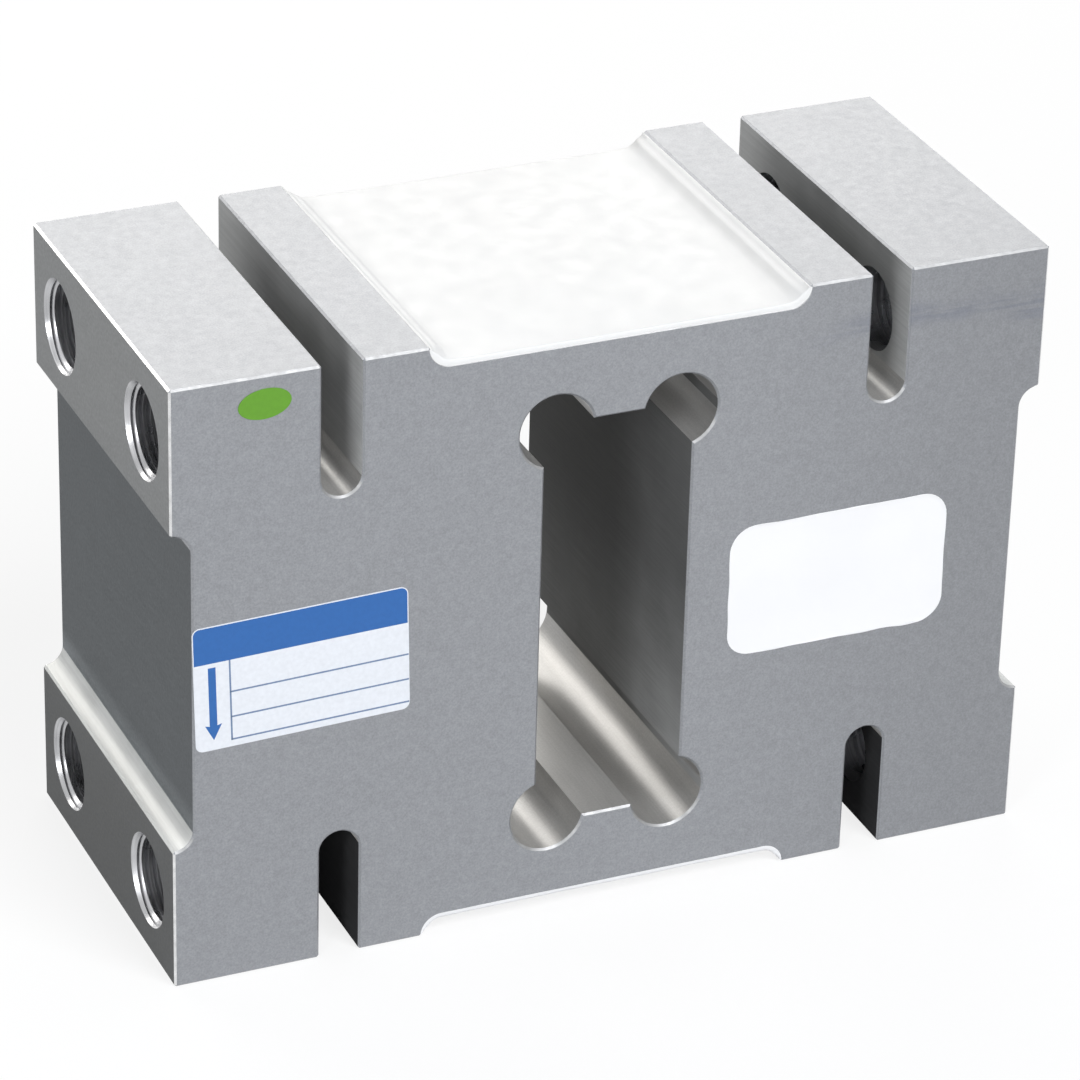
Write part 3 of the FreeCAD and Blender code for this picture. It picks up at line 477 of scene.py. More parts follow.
def screw_cutter(bm, start, axis, length):
    """A closed screw-shaped solid from a start point along an axis.

    Its columns of vertices run along the axis, each a step of a turn further up the helix. The last column
    meets the first one turn on, so it is joined to it one pitch's marks higher."""
    turns = int(length / THREAD_PITCH) + 1
    marks = len(THREAD_PROFILE)
    turn_to_axis = Vector((0, 0, 1)).rotation_difference(axis).to_matrix()
    columns = []
    for step in range(THREAD_STEPS):
        angle = 2 * math.pi * step / THREAD_STEPS
        column = []
        for turn in range(-1, turns + 1):
            for share, radius in THREAD_PROFILE:
                z = THREAD_PITCH * (turn + share + step / THREAD_STEPS)
                if not 0 < z < length:
                    z = min(max(z, 0), length)
                    radius = THREAD_CORE
                spot = Vector((radius * math.cos(angle), radius * math.sin(angle), z))
                column.append(bm.verts.new(start + turn_to_axis @ spot))
        columns.append(column)
    for step, column in enumerate(columns):
        last = step == THREAD_STEPS - 1
        after = columns[0] if last else columns[step + 1]
        shift = marks if last else 0
        for index in range(len(column) - 1):
            near = min(index + shift, len(after) - 1)
            far = min(index + 1 + shift, len(after) - 1)
            corners = [column[index], after[near], after[far], column[index + 1]]
            distinct = list(dict.fromkeys(corners))
            if len(distinct) > 2:
                bm.faces.new(distinct)
    for end in (0, -1):
        bm.faces.new([column[end] for column in columns])


def mouth_cutter(bm, start, axis, length):
    """A frustum that trims a hole's mouth to a clean cone."""
    turn_to_axis = Vector((0, 0, 1)).rotation_difference(axis).to_matrix()
    rings = []
    for z in (length - MOUTH_DEPTH, length):
        radius = MOUTH_RADIUS + (z - (length - CUT_PAST_FACE)) * MOUTH_SLOPE
        ring = []
        for step in range(MOUTH_STEPS):
            angle = 2 * math.pi * step / MOUTH_STEPS
            spot = Vector((radius * math.cos(angle), radius * math.sin(angle), z))
            ring.append(bm.verts.new(start + turn_to_axis @ spot))
        rings.append(ring)
    skin_rows(bm, rings, closed=True)
    bm.faces.new(rings[0][::-1])
    bm.faces.new(rings[1])


def cutting_tool(name, add_cutter):
    """One cutter for each threaded hole that the record states, as one object."""
    tool = bmesh.new()
    for mount in frame["record"]["mounts"]:
        if mount["kind"] != "threaded_hole":
            continue
        axis = Vector(mount["axis"])
        start = Vector(mount["pos_m"])
        start.x = axis.x * (HALF_LENGTH - THREAD_DEPTH)
        add_cutter(tool, start, axis, THREAD_DEPTH + CUT_PAST_FACE)
    bmesh.ops.remove_doubles(tool, verts=tool.verts, dist=1e-7)
    bmesh.ops.dissolve_degenerate(tool, dist=1e-8, edges=tool.edges)
    bmesh.ops.recalc_face_normals(tool, faces=tool.faces)
    return loose_object(name, tool)


def loose_object(name, bm):
    mesh = bpy.data.meshes.new(name)
    bm.to_mesh(mesh)
    bm.free()
    made = bpy.data.objects.new(name, mesh)
    bpy.context.scene.collection.objects.link(made)
    return made


def threaded_mesh():
    """The block with an M18 x 1.5 thread and a clean mouth cut into each mounting hole."""
    solid = bmesh.new()
    solid.from_mesh(nodes["sensing_element"].data)
    bmesh.ops.remove_doubles(solid, verts=solid.verts, dist=1e-7)
    block = loose_object("block", solid)
    tools = [cutting_tool("screws", screw_cutter), cutting_tool("mouths", mouth_cutter)]
    for tool in tools:
        cut = block.modifiers.new(tool.name, "BOOLEAN")
        cut.operation = "DIFFERENCE"
        cut.solver = "MANIFOLD"
        cut.object = tool
    graph = bpy.context.evaluated_depsgraph_get()
    threaded = bpy.data.meshes.new_from_object(block.evaluated_get(graph))
    for used in (block, *tools):
        bpy.data.objects.remove(used)
    return threaded


# the block's finishes: RELIEF is the end recess between the pads; its lower corner and a few edges take a
# far lighter finish, a painted highlight
FINISHES = range(11)
GROUND, EDGE, SHADED_UPPER_EDGE, BORE, WINDOW_WALL, SLOT_WALL, SHADED_SLOT_WALL, REAMED, PAD, RELIEF, FILLET_HIGHLIGHT = FINISHES
HOLES = [mount for mount in frame["record"]["mounts"] if mount["kind"] in ("threaded_hole", "bore")]
# how far the faces of each feature reach, with some slack
MOUTH_REACH = 9.5 * MM
HOLE_LENGTH = 35 * MM
EDGE_REACH = EDGE_BREAK * 1.05
WINDOW_REACH, WINDOW_RISE = 21 * MM, 49.5 * MM
SLOT_CENTRE, SLOT_REACH = 55 * MM, 4.2 * MM
# a face whose normal has this much of an axis lies square to it
SQUARE = 0.985


def edge_finish(centre, normal, size):
    """The finish of a chamfer, or None for any other face."""
    near_side = HALF_WIDTH - abs(centre.y) < EDGE_REACH
    near_end = HALF_LENGTH - abs(centre.x) < EDGE_REACH
    near_level = min(centre.z, HEIGHT - centre.z) < EDGE_REACH
    slants_sideways = 0.6 < size[1] < 0.8
    slants_endways = size[1] < 0.1 and abs(size[0] - size[2]) < 0.05
    is_side_edge = near_side and slants_sideways
    is_end_edge = (near_end or near_level) and slants_endways
    if not (is_side_edge or is_end_edge):
        return None
    faces_up = normal.z > 0.3
    is_lower_pad_edge = near_end and centre.z < MIDDLE
    is_left_land_edge = not near_end and centre.z > MIDDLE and centre.x < 0 < normal.x
    # painted highlight: upward chamfers of the lower pads and the left land take the fillet's lighter finish
    if is_end_edge and faces_up and (is_lower_pad_edge or is_left_land_edge):
        return FILLET_HIGHLIGHT
    # painted shade: other upward side chamfers take the darker copy of the bare edge
    if faces_up and not is_end_edge:
        return SHADED_UPPER_EDGE
    return EDGE if HALF_LENGTH - abs(centre.x) < 1 * MM else GROUND


def in_hole(centre):
    """Whether a place lies in one of the holes that the record states, or in its mouth."""
    for hole in HOLES:
        place = Vector(hole["pos_m"])
        same_end = centre.x * place.x > 0 and abs(centre.x) > HALF_LENGTH - HOLE_LENGTH
        if same_end and math.hypot(centre.y - place.y, centre.z - place.z) < MOUTH_REACH:
            return True
    return False


def cut_finish(centre, size):
    """The finish inside the window and the slots, or None elsewhere."""
    in_window = abs(centre.x) < WINDOW_REACH and abs(centre.z - MIDDLE) < WINDOW_RISE
    in_slot = abs(abs(centre.x) - SLOT_CENTRE) < SLOT_REACH
    if size[1] > 0.5 or not (in_window or in_slot):
        return None
    if size[0] < SQUARE:
        return REAMED
    if in_window:
        return WINDOW_WALL
    # painted shade: the lower slots take a near-black copy of the slot wall
    return SLOT_WALL if centre.z > MIDDLE else SHADED_SLOT_WALL


def end_finish(centre, size):
    """The finish of the ends, or None elsewhere."""
    depth = HALF_LENGTH - abs(centre.x)
    if depth > RECESS_DEPTH * 1.05:
        return None
    if size[0] > SQUARE:
        return PAD if depth < EDGE_BREAK else RELIEF
    # painted highlight: the end recesses' lower fillets, which face up, are coloured far lighter
    return FILLET_HIGHLIGHT if size[1] < 0.1 and 1 * MM < centre.z < MIDDLE else None


def finish_of(face):
    """Which of the block's finishes a face has."""
    centre, normal = face.calc_center_median(), face.normal
    size = [abs(part) for part in normal]
    on_edge = edge_finish(centre, normal, size)
    if on_edge is not None:
        return on_edge
    if size[0] < 0.95 and in_hole(centre):
        return BORE
    for finish in (cut_finish(centre, size), end_finish(centre, size)):
        if finish is not None:
            return finish
    return GROUND


def make_block():
    bm = bmesh.new()
    bm.from_mesh(threaded_mesh())
    bm.normal_update()
    smooth_by_angle(bm)
    for face in bm.faces:
        face.material_index = finish_of(face)
    finishes = [
        ground_aluminium(),
        bright_edge("bright_edge", BARE_EDGE, metallic=1.0, roughness=0.3),
        bright_edge("shaded_upper_edge", SHADED_EDGE_METAL, metallic=0.6, roughness=0.45),
        bored_metal(),
        # painted light and shade: the window wall painted dark and lighter at its foot and front, the slot
        # wall lighter behind the front
        milled_wall(
            "window_wall", SHADED_WALL_ALUMINIUM, metallic=0.0, grazing=0.15, sheen_level=0.02,
            painted_foot_light=2.4, painted_front_light=1.7, reach=44 * MM,
        ),
        milled_wall("slot_wall", SLOT_ALUMINIUM, metallic=0.6, grazing=0.5, painted_front_light=2.1, reach=10 * MM),
        milled_wall("shaded_slot_wall", SHADED_SLOT_ALUMINIUM, metallic=0.0, grazing=0.05, sheen_level=0.0),
        reamed_metal(),
        # painted shade: the pads darken to half towards the foot, the recess grows a touch lighter
        end_aluminium("pad_aluminium", PAD_ALUMINIUM, foot_shade=0.5),
        end_aluminium("relief_aluminium", RELIEF_ALUMINIUM, foot_shade=1.05),
        # painted highlight on the lower fillets
        milled_wall("fillet_highlight_aluminium", FILLET_HIGHLIGHT_ALUMINIUM, metallic=0.35, grazing=1.0, sheen_level=0.5),
    ]
    return make_piece("sensing_element_machined", bm, finishes, ["sensing_element"])


# ---------------------------------------------------------------- silicone

COAT_EDGE = 0.7 * MM
COAT_MIDDLE = 1.7 * MM
# silicone gathers in the recess's rounded corners, more on top, and thins out over this distance
TOP_FILL = 1.2 * MM
BOTTOM_FILL = 0.2 * MM
FILL_SPREAD = 4 * MM
# it ends at the foot of the land's chamfer, this far round the corner
RIM_ANGLE = math.acos(EDGE_BREAK / RECESS_CORNER)
# the share of its thickness at that rim, and the distance over which it would gain a whole one
RIM_COVER = 0.25
COVER_SPREAD = 2.5 * MM
ARC_STEPS, FLOOR_STEPS = 12, 48
# at the front and back it stays this far behind the face, with its edge rolled off
RIM_INSET = 0.12 * MM
LEAST_INSET = 0.01 * MM
EDGE_ROLL = 0.3 * MM
# clear of the metal below, so that no two surfaces lie in one place
UNDER_GAP, OVER_GAP = 0.004 * MM, 0.006 * MM

# a place across the recess: the way out of the metal, and its shares of dome, corner fill and thickness
Station = namedtuple("Station", "place out dome fill cover")


def wobble(x, y, seed, scale):
    """Smooth unevenness between about -1 and 1, with features of that many metres."""
    return noise.noise(Vector((x / scale, y / scale, seed * 7.3)))


def corner_fill(distance):
    """The share of the corner fill at a distance from the middle of the corner's arc."""
    return math.exp(-((distance / FILL_SPREAD) ** 2))


def mirrored(station):
    """The same station on the right."""
    flip = Vector((-1, 1, 1))
    return station._replace(place=station.place * flip, out=station.out * flip)


def coat_line(half_length):
    """Stations across the recess: down the left corner, along the floor and up the right corner."""
    foot = half_length - RECESS_CORNER
    left = []
    for step in range(ARC_STEPS):
        angle = RIM_ANGLE * (1 - step / ARC_STEPS)
        out = Vector((math.sin(angle), 0, math.cos(angle)))
        place = Vector((-foot - RECESS_CORNER * out.x, 0, RECESS_CORNER * (1 - out.z)))
        from_middle = abs(angle - math.pi / 4) * RECESS_CORNER
        from_land = (RIM_ANGLE - angle) * RECESS_CORNER
        cover = min(1.0, RIM_COVER + from_land / COVER_SPREAD)
        left.append(Station(place, out, 0.0, corner_fill(from_middle), cover))
    floor = []
    for step in range(FLOOR_STEPS + 1):
        x = -foot + 2 * foot * step / FLOOR_STEPS
        from_middle = math.pi / 4 * RECESS_CORNER + foot - abs(x)
        dome = 1 - (x / foot) ** 2
        floor.append(Station(Vector((x, 0, 0)), Vector((0, 0, 1)), dome, corner_fill(from_middle), 1.0))
    return left + floor + [mirrored(station) for station in left[::-1]]


def coat_rows(depth):
    """Distances from the front or back edge: close together where the silicone rounds off."""
    rim = [0.0, 0.05, 0.13, 0.25, 0.42, 0.7, 1.2, 2.0, 3.5]
    first, apart = 6.0, 2.6
    inner = [first + apart * step for step in range(int((depth / MM - first) / apart) + 1)]
    return [distance * MM for distance in rim + inner]


def rim_inset(x, side, seed):
    """How far the silicone stays behind the front or back face, wavering along it."""
    inset = RIM_INSET + 0.11 * MM * wobble(x + side, side, seed, 9 * MM)
    inset += 0.05 * MM * wobble(x, side, seed + 1, 2.5 * MM)
    return max(inset, LEAST_INSET)


def coat_thickness(station, y, distance, half_width, most_fill, seed):
    """Thickness at a station, a distance behind the edge: edge, dome, corner fill and unevenness."""
    x = station.place.x
    dome = (COAT_MIDDLE - COAT_EDGE) * station.dome * (1 - (y / half_width) ** 2)
    thick = COAT_EDGE + dome + most_fill * station.fill * min(1.0, 0.3 + distance / (5 * MM))
    thick += 0.1 * MM * wobble(x, y, seed + 2, 13 * MM)
    thick += 0.04 * MM * wobble(x, y, seed + 3, 4 * MM)
    return thick * station.cover


def make_coat(face, seed, colour, most_fill):
    """Silicone over one gauge recess, spread by hand: uneven rim, soft edges, a low middle dome."""
    _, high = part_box(f"{face}_silicone_coat")
    half_width = high.y
    stations = coat_line(high.x)
    distances = coat_rows(half_width)
    rows = [(-1, distance) for distance in distances] + [(1, distance) for distance in distances[::-1]]
    bm = bmesh.new()
    under, over = [], []
    for side, distance in rows:
        under_row, over_row = [], []
        roll = min(1.0, (distance + 0.02 * MM) / EDGE_ROLL)
        lift = math.sqrt(1 - (1 - roll) ** 2)
        for station in stations:
            place, out = station.place, station.out
            y = side * (half_width - rim_inset(place.x, side, seed) - distance)
            over_chamfer = max(abs(y) - (half_width - EDGE_BREAK), 0)
            base = Vector((place.x, y, place.z)) - out * over_chamfer
            thick = coat_thickness(station, y, distance, half_width, most_fill, seed)
            under_row.append(bm.verts.new(base + out * UNDER_GAP))
            over_row.append(bm.verts.new(base + out * ((thick + over_chamfer) * lift + OVER_GAP)))
        under.append(under_row)
        over.append(over_row)
    skin_sheet(bm, over, under)
    if face == "top":
        bmesh.ops.translate(bm, verts=bm.verts, vec=(0, 0, HEIGHT - RECESS_DEPTH))
    else:
        bmesh.ops.rotate(bm, verts=bm.verts, cent=(0, 0, 0), matrix=Matrix.Rotation(math.pi, 3, "X"))
        bmesh.ops.translate(bm, verts=bm.verts, vec=(0, 0, RECESS_DEPTH))
    bmesh.ops.recalc_face_normals(bm, faces=bm.faces)
    smooth_by_angle(bm, math.radians(50))
    finish = silicone(f"{face}_white", colour)
    return make_piece(f"{face}_silicone", bm, [finish], [f"{face}_silicone_coat"])


def rounded_rectangle(half_width, half_height, radius, steps):
    """Points evenly round a rectangle with rounded corners, each with its way out."""
    straight_x, straight_z = half_width - radius, half_height - radius
    quarter = math.pi / 2 * radius
    # each side's straight length and the middle of the corner that ends it, anticlockwise from the top side
    sides = [
        (2 * straight_x, -straight_x, straight_z),
        (2 * straight_z, -straight_x, -straight_z),
        (2 * straight_x, straight_x, -straight_z),
        (2 * straight_z, straight_x, straight_z),
    ]
    total = sum(length + quarter for length, _, _ in sides)
    points = []
    for step in range(steps):
        along = total * step / steps
        side = 0
        while along > sides[side][0] + quarter:
            along -= sides[side][0] + quarter
            side += 1
        length, middle_x, middle_z = sides[side]
        past_straight, before_corner = max(along - length, 0), max(length - along, 0)
        angle = math.pi / 2 * (side + 1) + past_straight / radius
        out_x, out_z = math.cos(angle), math.sin(angle)
        x = middle_x + out_x * radius + out_z * before_corner
        z = middle_z + out_z * radius - out_x * before_corner
        points.append((Vector((x, 0, z)), Vector((out_x, 0, out_z))))
    return points


POTTING_CORNER = 5 * MM
POTTING_STEPS = 160
# rings of its face, as shares of its outline, and how it sinks between them
FACE_RINGS = [0.12, 0.3, 0.5, 0.68, 0.82, 0.91, 0.96, 0.99]
POTTING_SINK = 0.16 * MM
POTTING_WAVE = 0.07 * MM
POTTING_PROUD = 0.02 * MM
# its wall starts behind the face, stays clear of the cavity's wall, and ends clear of the board
WALL_START = 0.02 * MM
WALL_GAP = 0.01 * MM
BOARD_ROOM = 2.5 * MM
# the thin smear over the cavity's rim, highest at this share of its reach
SMEAR_REACH, SMEAR_WAVE, SMEAR_LEAST = 0.14 * MM, 0.22 * MM, 0.03 * MM
SMEAR_LUMP = 0.35 * MM
SMEAR_TOP = 0.7
SMEAR_HEIGHT, SMEAR_FOOT = 0.045 * MM, 0.004 * MM


def face_ring(bm, middle, outline, share):
    """A ring of the potting's face: sunk in the middle, and a little uneven."""
    ring = []
    for place, _ in outline:
        spot = place * share
        sink = POTTING_SINK * (1 - share**4) + POTTING_WAVE * wobble(spot.x, spot.z, 5, 9 * MM)
        y = -HALF_WIDTH + sink - POTTING_PROUD
        ring.append(bm.verts.new(Vector((middle.x + spot.x, y, middle.z + spot.z))))
    return ring


def smear_reach(place, half_width, half_height):
    """How far the smear reaches past the rim, with lumps at the lower right."""
    reach = SMEAR_REACH + SMEAR_WAVE * wobble(place.x, place.z, 8, 6 * MM)
    lower_right = max(0.0, place.x / half_width) * max(0.0, -place.z / half_height)
    lump = max(0.0, wobble(place.x, place.z, 9, 5 * MM) + 0.4)
    return max(reach, SMEAR_LEAST) + SMEAR_LUMP * lower_right * lump


def make_potting():
    """The poured filling of the side cavity: nearly flush, with a thin uneven smear over its rim."""
    low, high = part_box("side_potting")
    centre = (low + high) / 2
    half_width, half_height = (high.x - low.x) / 2, (high.z - low.z) / 2
    outline = rounded_rectangle(half_width, half_height, POTTING_CORNER, POTTING_STEPS)
    middle, inwards = Vector((centre.x, -HALF_WIDTH, centre.z)), Vector((0, 1, 0))
    bm = bmesh.new()
    rows = [face_ring(bm, middle, outline, share) for share in FACE_RINGS]
    smear_top, smear_foot, wall_top, wall_back = [], [], [], []
    for place, out in outline:
        reach = smear_reach(place, half_width, half_height)
        spot = middle + place
        behind = Vector((spot.x, high.y - BOARD_ROOM, spot.z))
        smear_top.append(bm.verts.new(spot + out * reach * SMEAR_TOP - inwards * SMEAR_HEIGHT))
        smear_foot.append(bm.verts.new(spot + out * reach - inwards * SMEAR_FOOT))
        wall_top.append(bm.verts.new(spot - out * WALL_GAP + inwards * WALL_START))
        wall_back.append(bm.verts.new(behind - out * WALL_GAP))
    rows += [smear_top, smear_foot, wall_top, wall_back]
    skin_rows(bm, rows, closed=True)
    bm.faces.new(rows[0][::-1])
    bm.faces.new(rows[-1])
    bmesh.ops.recalc_face_normals(bm, faces=bm.faces)
    smooth_by_angle(bm, math.radians(40))
    finish = silicone("potting_white", POTTING_WHITE)
    return make_piece("side_potting_poured", bm, [finish], ["side_potting"])


# ---------------------------------------------------------------- label

LABEL_WIDTH, LABEL_HEIGHT = 42.3 * MM, 26 * MM
LABEL_CENTRE = Vector((-62.65 * MM, -HALF_WIDTH, 63.5 * MM))
LABEL_TILT = math.radians(1.5)
LABEL_CORNER = 1.5 * MM
FOIL = 0.1 * MM
INK = 0.012 * MM
HEADER = 7.7 * MM
HEADER_RIM = 0.2 * MM
RULE = 0.34 * MM
RULE_MARGIN = 0.1 * MM
# from the label's left edge to the arrow's axis and the upright rule, and from the header down to each rule
ARROW_PLACE = 3.6 * MM
COLUMN_PLACE = 7.1 * MM
ROW_DROPS = [6.7 * MM, 12.0 * MM, 16.8 * MM]
# the arrow, from the header down, and its half widths
ARROW_TAIL, ARROW_NECK, ARROW_TIP = 0.9 * MM, 13.2 * MM, 16.2 * MM
SHAFT_HALF_WIDTH, BARB_HALF_WIDTH, BARB_SWEEP = 0.75 * MM, 1.65 * MM, 0.25 * MM


def label_place(x, z, proud):
    """A point of the label, from its own middle, right and up, standing proud of the face."""
    turned = Matrix.Rotation(-LABEL_TILT, 3, "Y") @ Vector((x, 0, z))
    return LABEL_CENTRE + turned + Vector((0, -proud, 0))


def printed_shape(name, outlines, base, height, material):
    """Thin flat shapes on the label, each an outline of x, z corners."""
    bm = bmesh.new()
    for outline in outlines:
        foot = [bm.verts.new(label_place(x, z, base)) for x, z in outline]
        top = [bm.verts.new(label_place(x, z, base + height)) for x, z in outline]
        skin_rows(bm, [foot, top], closed=True)
        bm.faces.new(top)
        bm.faces.new(foot[::-1])
    bmesh.ops.recalc_face_normals(bm, faces=bm.faces)
    return make_piece(name, bm, [material], ["front_label"])


def corner_arc(centre_x, centre_z, radius, start, steps=8):
    """A quarter of a circle from a start angle in quarter turns."""
    angles = [math.pi / 2 * (start + step / steps) for step in range(steps + 1)]
    return [(centre_x + radius * math.cos(a), centre_z + radius * math.sin(a)) for a in angles]


def bar(left, right, low, high):
    return [(left, low), (right, low), (right, high), (left, high)]


def load_arrow(axis, top):
    """The load arrow's outline, pointing down below a level."""
    neck = top - ARROW_NECK
    right = [
        (axis + SHAFT_HALF_WIDTH, top - ARROW_TAIL),
        (axis + SHAFT_HALF_WIDTH, neck),
        (axis + BARB_HALF_WIDTH, neck + BARB_SWEEP),
    ]
    left = [(2 * axis - x, z) for x, z in right]
    return left + [(axis, top - ARROW_TIP)] + right[::-1]


def make_label():
    """White foil with a blue header, a load arrow and ruled rows left blank."""
    half, rise, corner = LABEL_WIDTH / 2, LABEL_HEIGHT / 2, LABEL_CORNER
    foil = corner_arc(half - corner, rise - corner, corner, 0)
    foil += corner_arc(corner - half, rise - corner, corner, 1)
    foil += corner_arc(corner - half, corner - rise, corner, 2)
    foil += corner_arc(half - corner, corner - rise, corner, 3)
    printed_shape("label_foil", [foil], 0.0, FOIL, printed_film("label_white", LABEL_WHITE))

    inner, inner_corner = half - HEADER_RIM, corner - HEADER_RIM
    top, foot = rise - HEADER_RIM, rise - HEADER
    header = corner_arc(inner - inner_corner, top - inner_corner, inner_corner, 0)
    header += corner_arc(inner_corner - inner, top - inner_corner, inner_corner, 1)
    header += [(-inner, foot), (inner, foot)]
    blue = printed_film("label_blue", LABEL_BLUE)
    printed_shape("label_header", [header], FOIL, INK, blue)
    printed_shape("label_arrow", [load_arrow(ARROW_PLACE - half, foot)], FOIL, INK, blue)

    column = COLUMN_PLACE - half
    levels = [foot - drop for drop in ROW_DROPS]
    rules = [bar(column, half - RULE_MARGIN, level - RULE / 2, level + RULE / 2) for level in levels]
    rules.append(bar(column - RULE / 2, column + RULE / 2, levels[-1] - RULE / 2, foot))
    printed_shape("label_rules", rules, FOIL, INK * 0.9, printed_film("label_rule_blue", RULE_BLUE))


# ---------------------------------------------------------------- carried-over nodes


def paint_node(name, material):
    """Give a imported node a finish, in place of its plain one."""
    slots = nodes[name].data.materials
    slots.clear()
    slots.append(material)


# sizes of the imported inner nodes, and a hair's breadth to tell their layers apart
FILM_THICKNESS = 0.1 * MM
FOIL_THICKNESS = 0.05 * MM
CAP_LENGTH = 0.85 * MM
HAIR = 0.01 * MM


def resistor_paint(name):
    """Dark glazed ceramic between tinned end caps."""
    low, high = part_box(name)
    paint = Paint(f"{name}_paint", roughness=0.35)
    along = paint.math("ABSOLUTE", paint.math("SUBTRACT", paint.axes()[0], (low.x + high.x) / 2))
    cap = paint.step(along, (high.x - low.x) / 2 - CAP_LENGTH, HAIR)
    grain = paint.spread(paint.noise(2500, detail=2), 0.85, 1.1)
    paint.colour(paint.mix(cap, paint.scaled(GLAZE, grain), SOLDER))
    paint.link(cap, paint.shader.inputs["Metallic"])
    return paint.material


def dress_inner_nodes():
    """Finishes of the nodes that no Blender piece replaces."""
    on_film = MIDDLE - RECESS_DEPTH + FILM_THICKNESS + HAIR
    gauge = layered("gauge_paint", FILM_AMBER, [(on_film, CONSTANTAN)], from_mid_height)
    metals = [(on_film, COPPER), (on_film + FOIL_THICKNESS, SOLDER)]
    terminal = layered("terminal_paint", FILM_AMBER, metals, from_mid_height)
    for face in ("top", "bottom"):
        for side in ("left", "right"):
            paint_node(f"strain_gauge_{face}_{side}", gauge)
            paint_node(f"terminal_{face}_{side}", terminal)
        paint_node(f"{face}_lead_wires", mottled("lead_insulation", LEAD_RED, 0.4))
    board_low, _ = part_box("compensation_board")
    lands = [(-board_low.y - FOIL_THICKNESS / 2, SOLDER)]
    paint_node("compensation_board", layered("board_paint", LAMINATE_GREEN, lands, towards_front))
    for name in nodes:
        if "resistor" in name:
            paint_node(name, resistor_paint(name))
    paint_node("gland_sleeve", mottled("gland_rubber", RUBBER, 0.7))
    nickel = plated("gland_nickel", NICKEL, 0.26)
    paint_node("gland_washer", nickel)
    paint_node("gland_screw", nickel)
    paint_node("oval_sticker", printed_film("sticker_green", STICKER_GREEN, 0.38))


# ---------------------------------------------------------------- stage, light and camera

WHITE = rgb(1, 1, 1)
SKY = rgb(0.9, 0.95, 1.0)
SKY_STRENGTH = 0.2
FLOOR_GREY = rgb(0.7, 0.7, 0.7)
FLOOR_WHITE = rgb(0.95, 0.95, 0.95)
FLOOR_GLOW_SHARE = 0.8
FLOOR_HALF_SIZE = 6.0
FLOOR_DROP = 0.02 * MM
COOL_LIGHT = (0.97, 0.98, 1.0)
WARM_LIGHT = (1.0, 0.97, 0.92)


def studio_background(tree, plain, white):
    """Rays from the camera, and those seen in gloss or glass, meet white; the rest meet the plain light."""
    path = tree.nodes.new("ShaderNodeLightPath")
    seen = path.outputs["Is Camera Ray"]
    for name in ("Is Glossy Ray", "Is Transmission Ray"):
        either = tree.nodes.new("ShaderNodeMath")
        either.operation = "MAXIMUM"
        tree.links.new(seen, either.inputs[0])
        tree.links.new(path.outputs[name], either.inputs[1])
        seen = either.outputs[0]
    mix = tree.nodes.new("ShaderNodeMixShader")
    tree.links.new(seen, mix.inputs[0])
    tree.links.new(plain, mix.inputs[1])
    tree.links.new(white, mix.inputs[2])
    return mix.outputs[0]


def make_world():
    world = bpy.data.worlds.new("studio")
    bpy.context.scene.world = world
    world.use_nodes = True
    tree = world.node_tree
    tree.nodes.clear()
    plain = tree.nodes.new("ShaderNodeBackground")
    plain.inputs["Color"].default_value = SKY
    plain.inputs["Strength"].default_value = SKY_STRENGTH
    white = tree.nodes.new("ShaderNodeBackground")
    white.inputs["Color"].default_value = WHITE
    white.inputs["Strength"].default_value = 1.0
    output = tree.nodes.new("ShaderNodeOutputWorld")
    tree.links.new(studio_background(tree, plain.outputs[0], white.outputs[0]), output.inputs["Surface"])


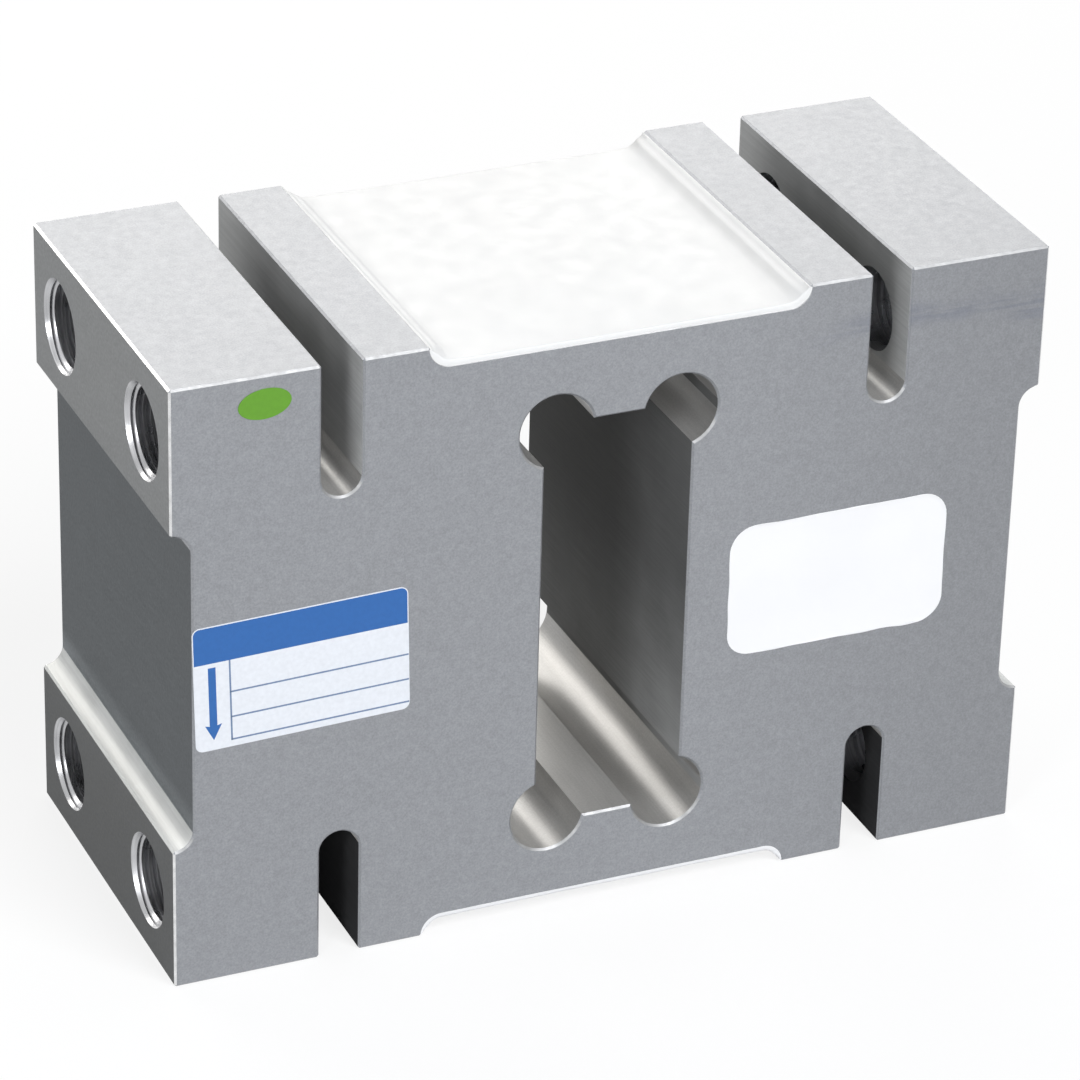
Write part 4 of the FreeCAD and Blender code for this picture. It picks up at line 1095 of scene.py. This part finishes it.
def make_floor():
    """A wide pale floor that keeps a soft shadow. Seen directly it is mostly its own white."""
    bm = bmesh.new()
    bmesh.ops.create_grid(bm, x_segments=2, y_segments=2, size=FLOOR_HALF_SIZE)
    mesh = bpy.data.meshes.new("floor")
    bm.to_mesh(mesh)
    bm.free()
    floor = bpy.data.objects.new("floor", mesh)
    floor.location.z = -FLOOR_DROP
    bpy.context.scene.collection.objects.link(floor)
    material = bpy.data.materials.new("pale_floor")
    material.use_nodes = True
    tree = material.node_tree
    tree.nodes.clear()
    paper = tree.nodes.new("ShaderNodeBsdfDiffuse")
    paper.inputs["Color"].default_value = FLOOR_GREY
    glow = tree.nodes.new("ShaderNodeEmission")
    glow.inputs["Color"].default_value = WHITE
    white_paper = tree.nodes.new("ShaderNodeBsdfDiffuse")
    white_paper.inputs["Color"].default_value = FLOOR_WHITE
    half_lit = tree.nodes.new("ShaderNodeMixShader")
    half_lit.inputs[0].default_value = FLOOR_GLOW_SHARE
    tree.links.new(white_paper.outputs[0], half_lit.inputs[1])
    tree.links.new(glow.outputs[0], half_lit.inputs[2])
    output = tree.nodes.new("ShaderNodeOutputMaterial")
    tree.links.new(studio_background(tree, paper.outputs[0], half_lit.outputs[0]), output.inputs["Surface"])
    mesh.materials.append(material)


def area_light(name, place, aim, width, height, power, colour):
    """A soft box of a width and height in metres, aimed at a point."""
    data = bpy.data.lights.new(name, "AREA")
    data.shape = "RECTANGLE"
    data.size, data.size_y = width, height
    data.energy = power
    data.color = colour
    lamp = bpy.data.objects.new(name, data)
    lamp.location = place
    lamp.rotation_mode = "QUATERNION"
    lamp.rotation_quaternion = (Vector(aim) - Vector(place)).to_track_quat("-Z", "Y")
    bpy.context.scene.collection.objects.link(lamp)


CAMERA_PLACE = Vector((-0.3617, -0.8178, 0.53715))
CAMERA_AIM = Vector((0.00063, -0.00155, 0.06033))
CAMERA_ROLL = math.radians(1.56)
CAMERA_LENS = 174.0


def make_camera():
    data = bpy.data.cameras.new("camera")
    data.sensor_width = 36.0
    data.lens = CAMERA_LENS
    data.clip_start, data.clip_end = 0.01, 50.0
    camera = bpy.data.objects.new("camera", data)
    camera.location = CAMERA_PLACE
    camera.rotation_mode = "QUATERNION"
    look = (CAMERA_AIM - CAMERA_PLACE).to_track_quat("-Z", "Y")
    camera.rotation_quaternion = look @ Quaternion((0, 0, 1), CAMERA_ROLL)
    bpy.context.scene.collection.objects.link(camera)
    bpy.context.scene.camera = camera


# ---------------------------------------------------------------- scene

make_block()
# the top coat in a darker white, painted shade
make_coat("top", 1, TOP_COAT_SHADED_WHITE, TOP_FILL)
make_coat("bottom", 4, POTTING_WHITE, BOTTOM_FILL)
make_potting()
make_label()
dress_inner_nodes()

make_world()
make_floor()
centre = (0.0, 0.0, MIDDLE)
area_light("key", (0.36, -1.15, 1.27), centre, 0.9, 0.9, 26.2, COOL_LIGHT)
area_light("left_fill", (-0.75, -0.66, 0.5), centre, 0.25, 0.4, 2.6, COOL_LIGHT)
area_light("back_strip", (0.0, 1.1, 0.66), centre, 1.7, 0.5, 10.0, WARM_LIGHT)
make_camera()
bpy.context.scene.view_settings.view_transform = "Standard"
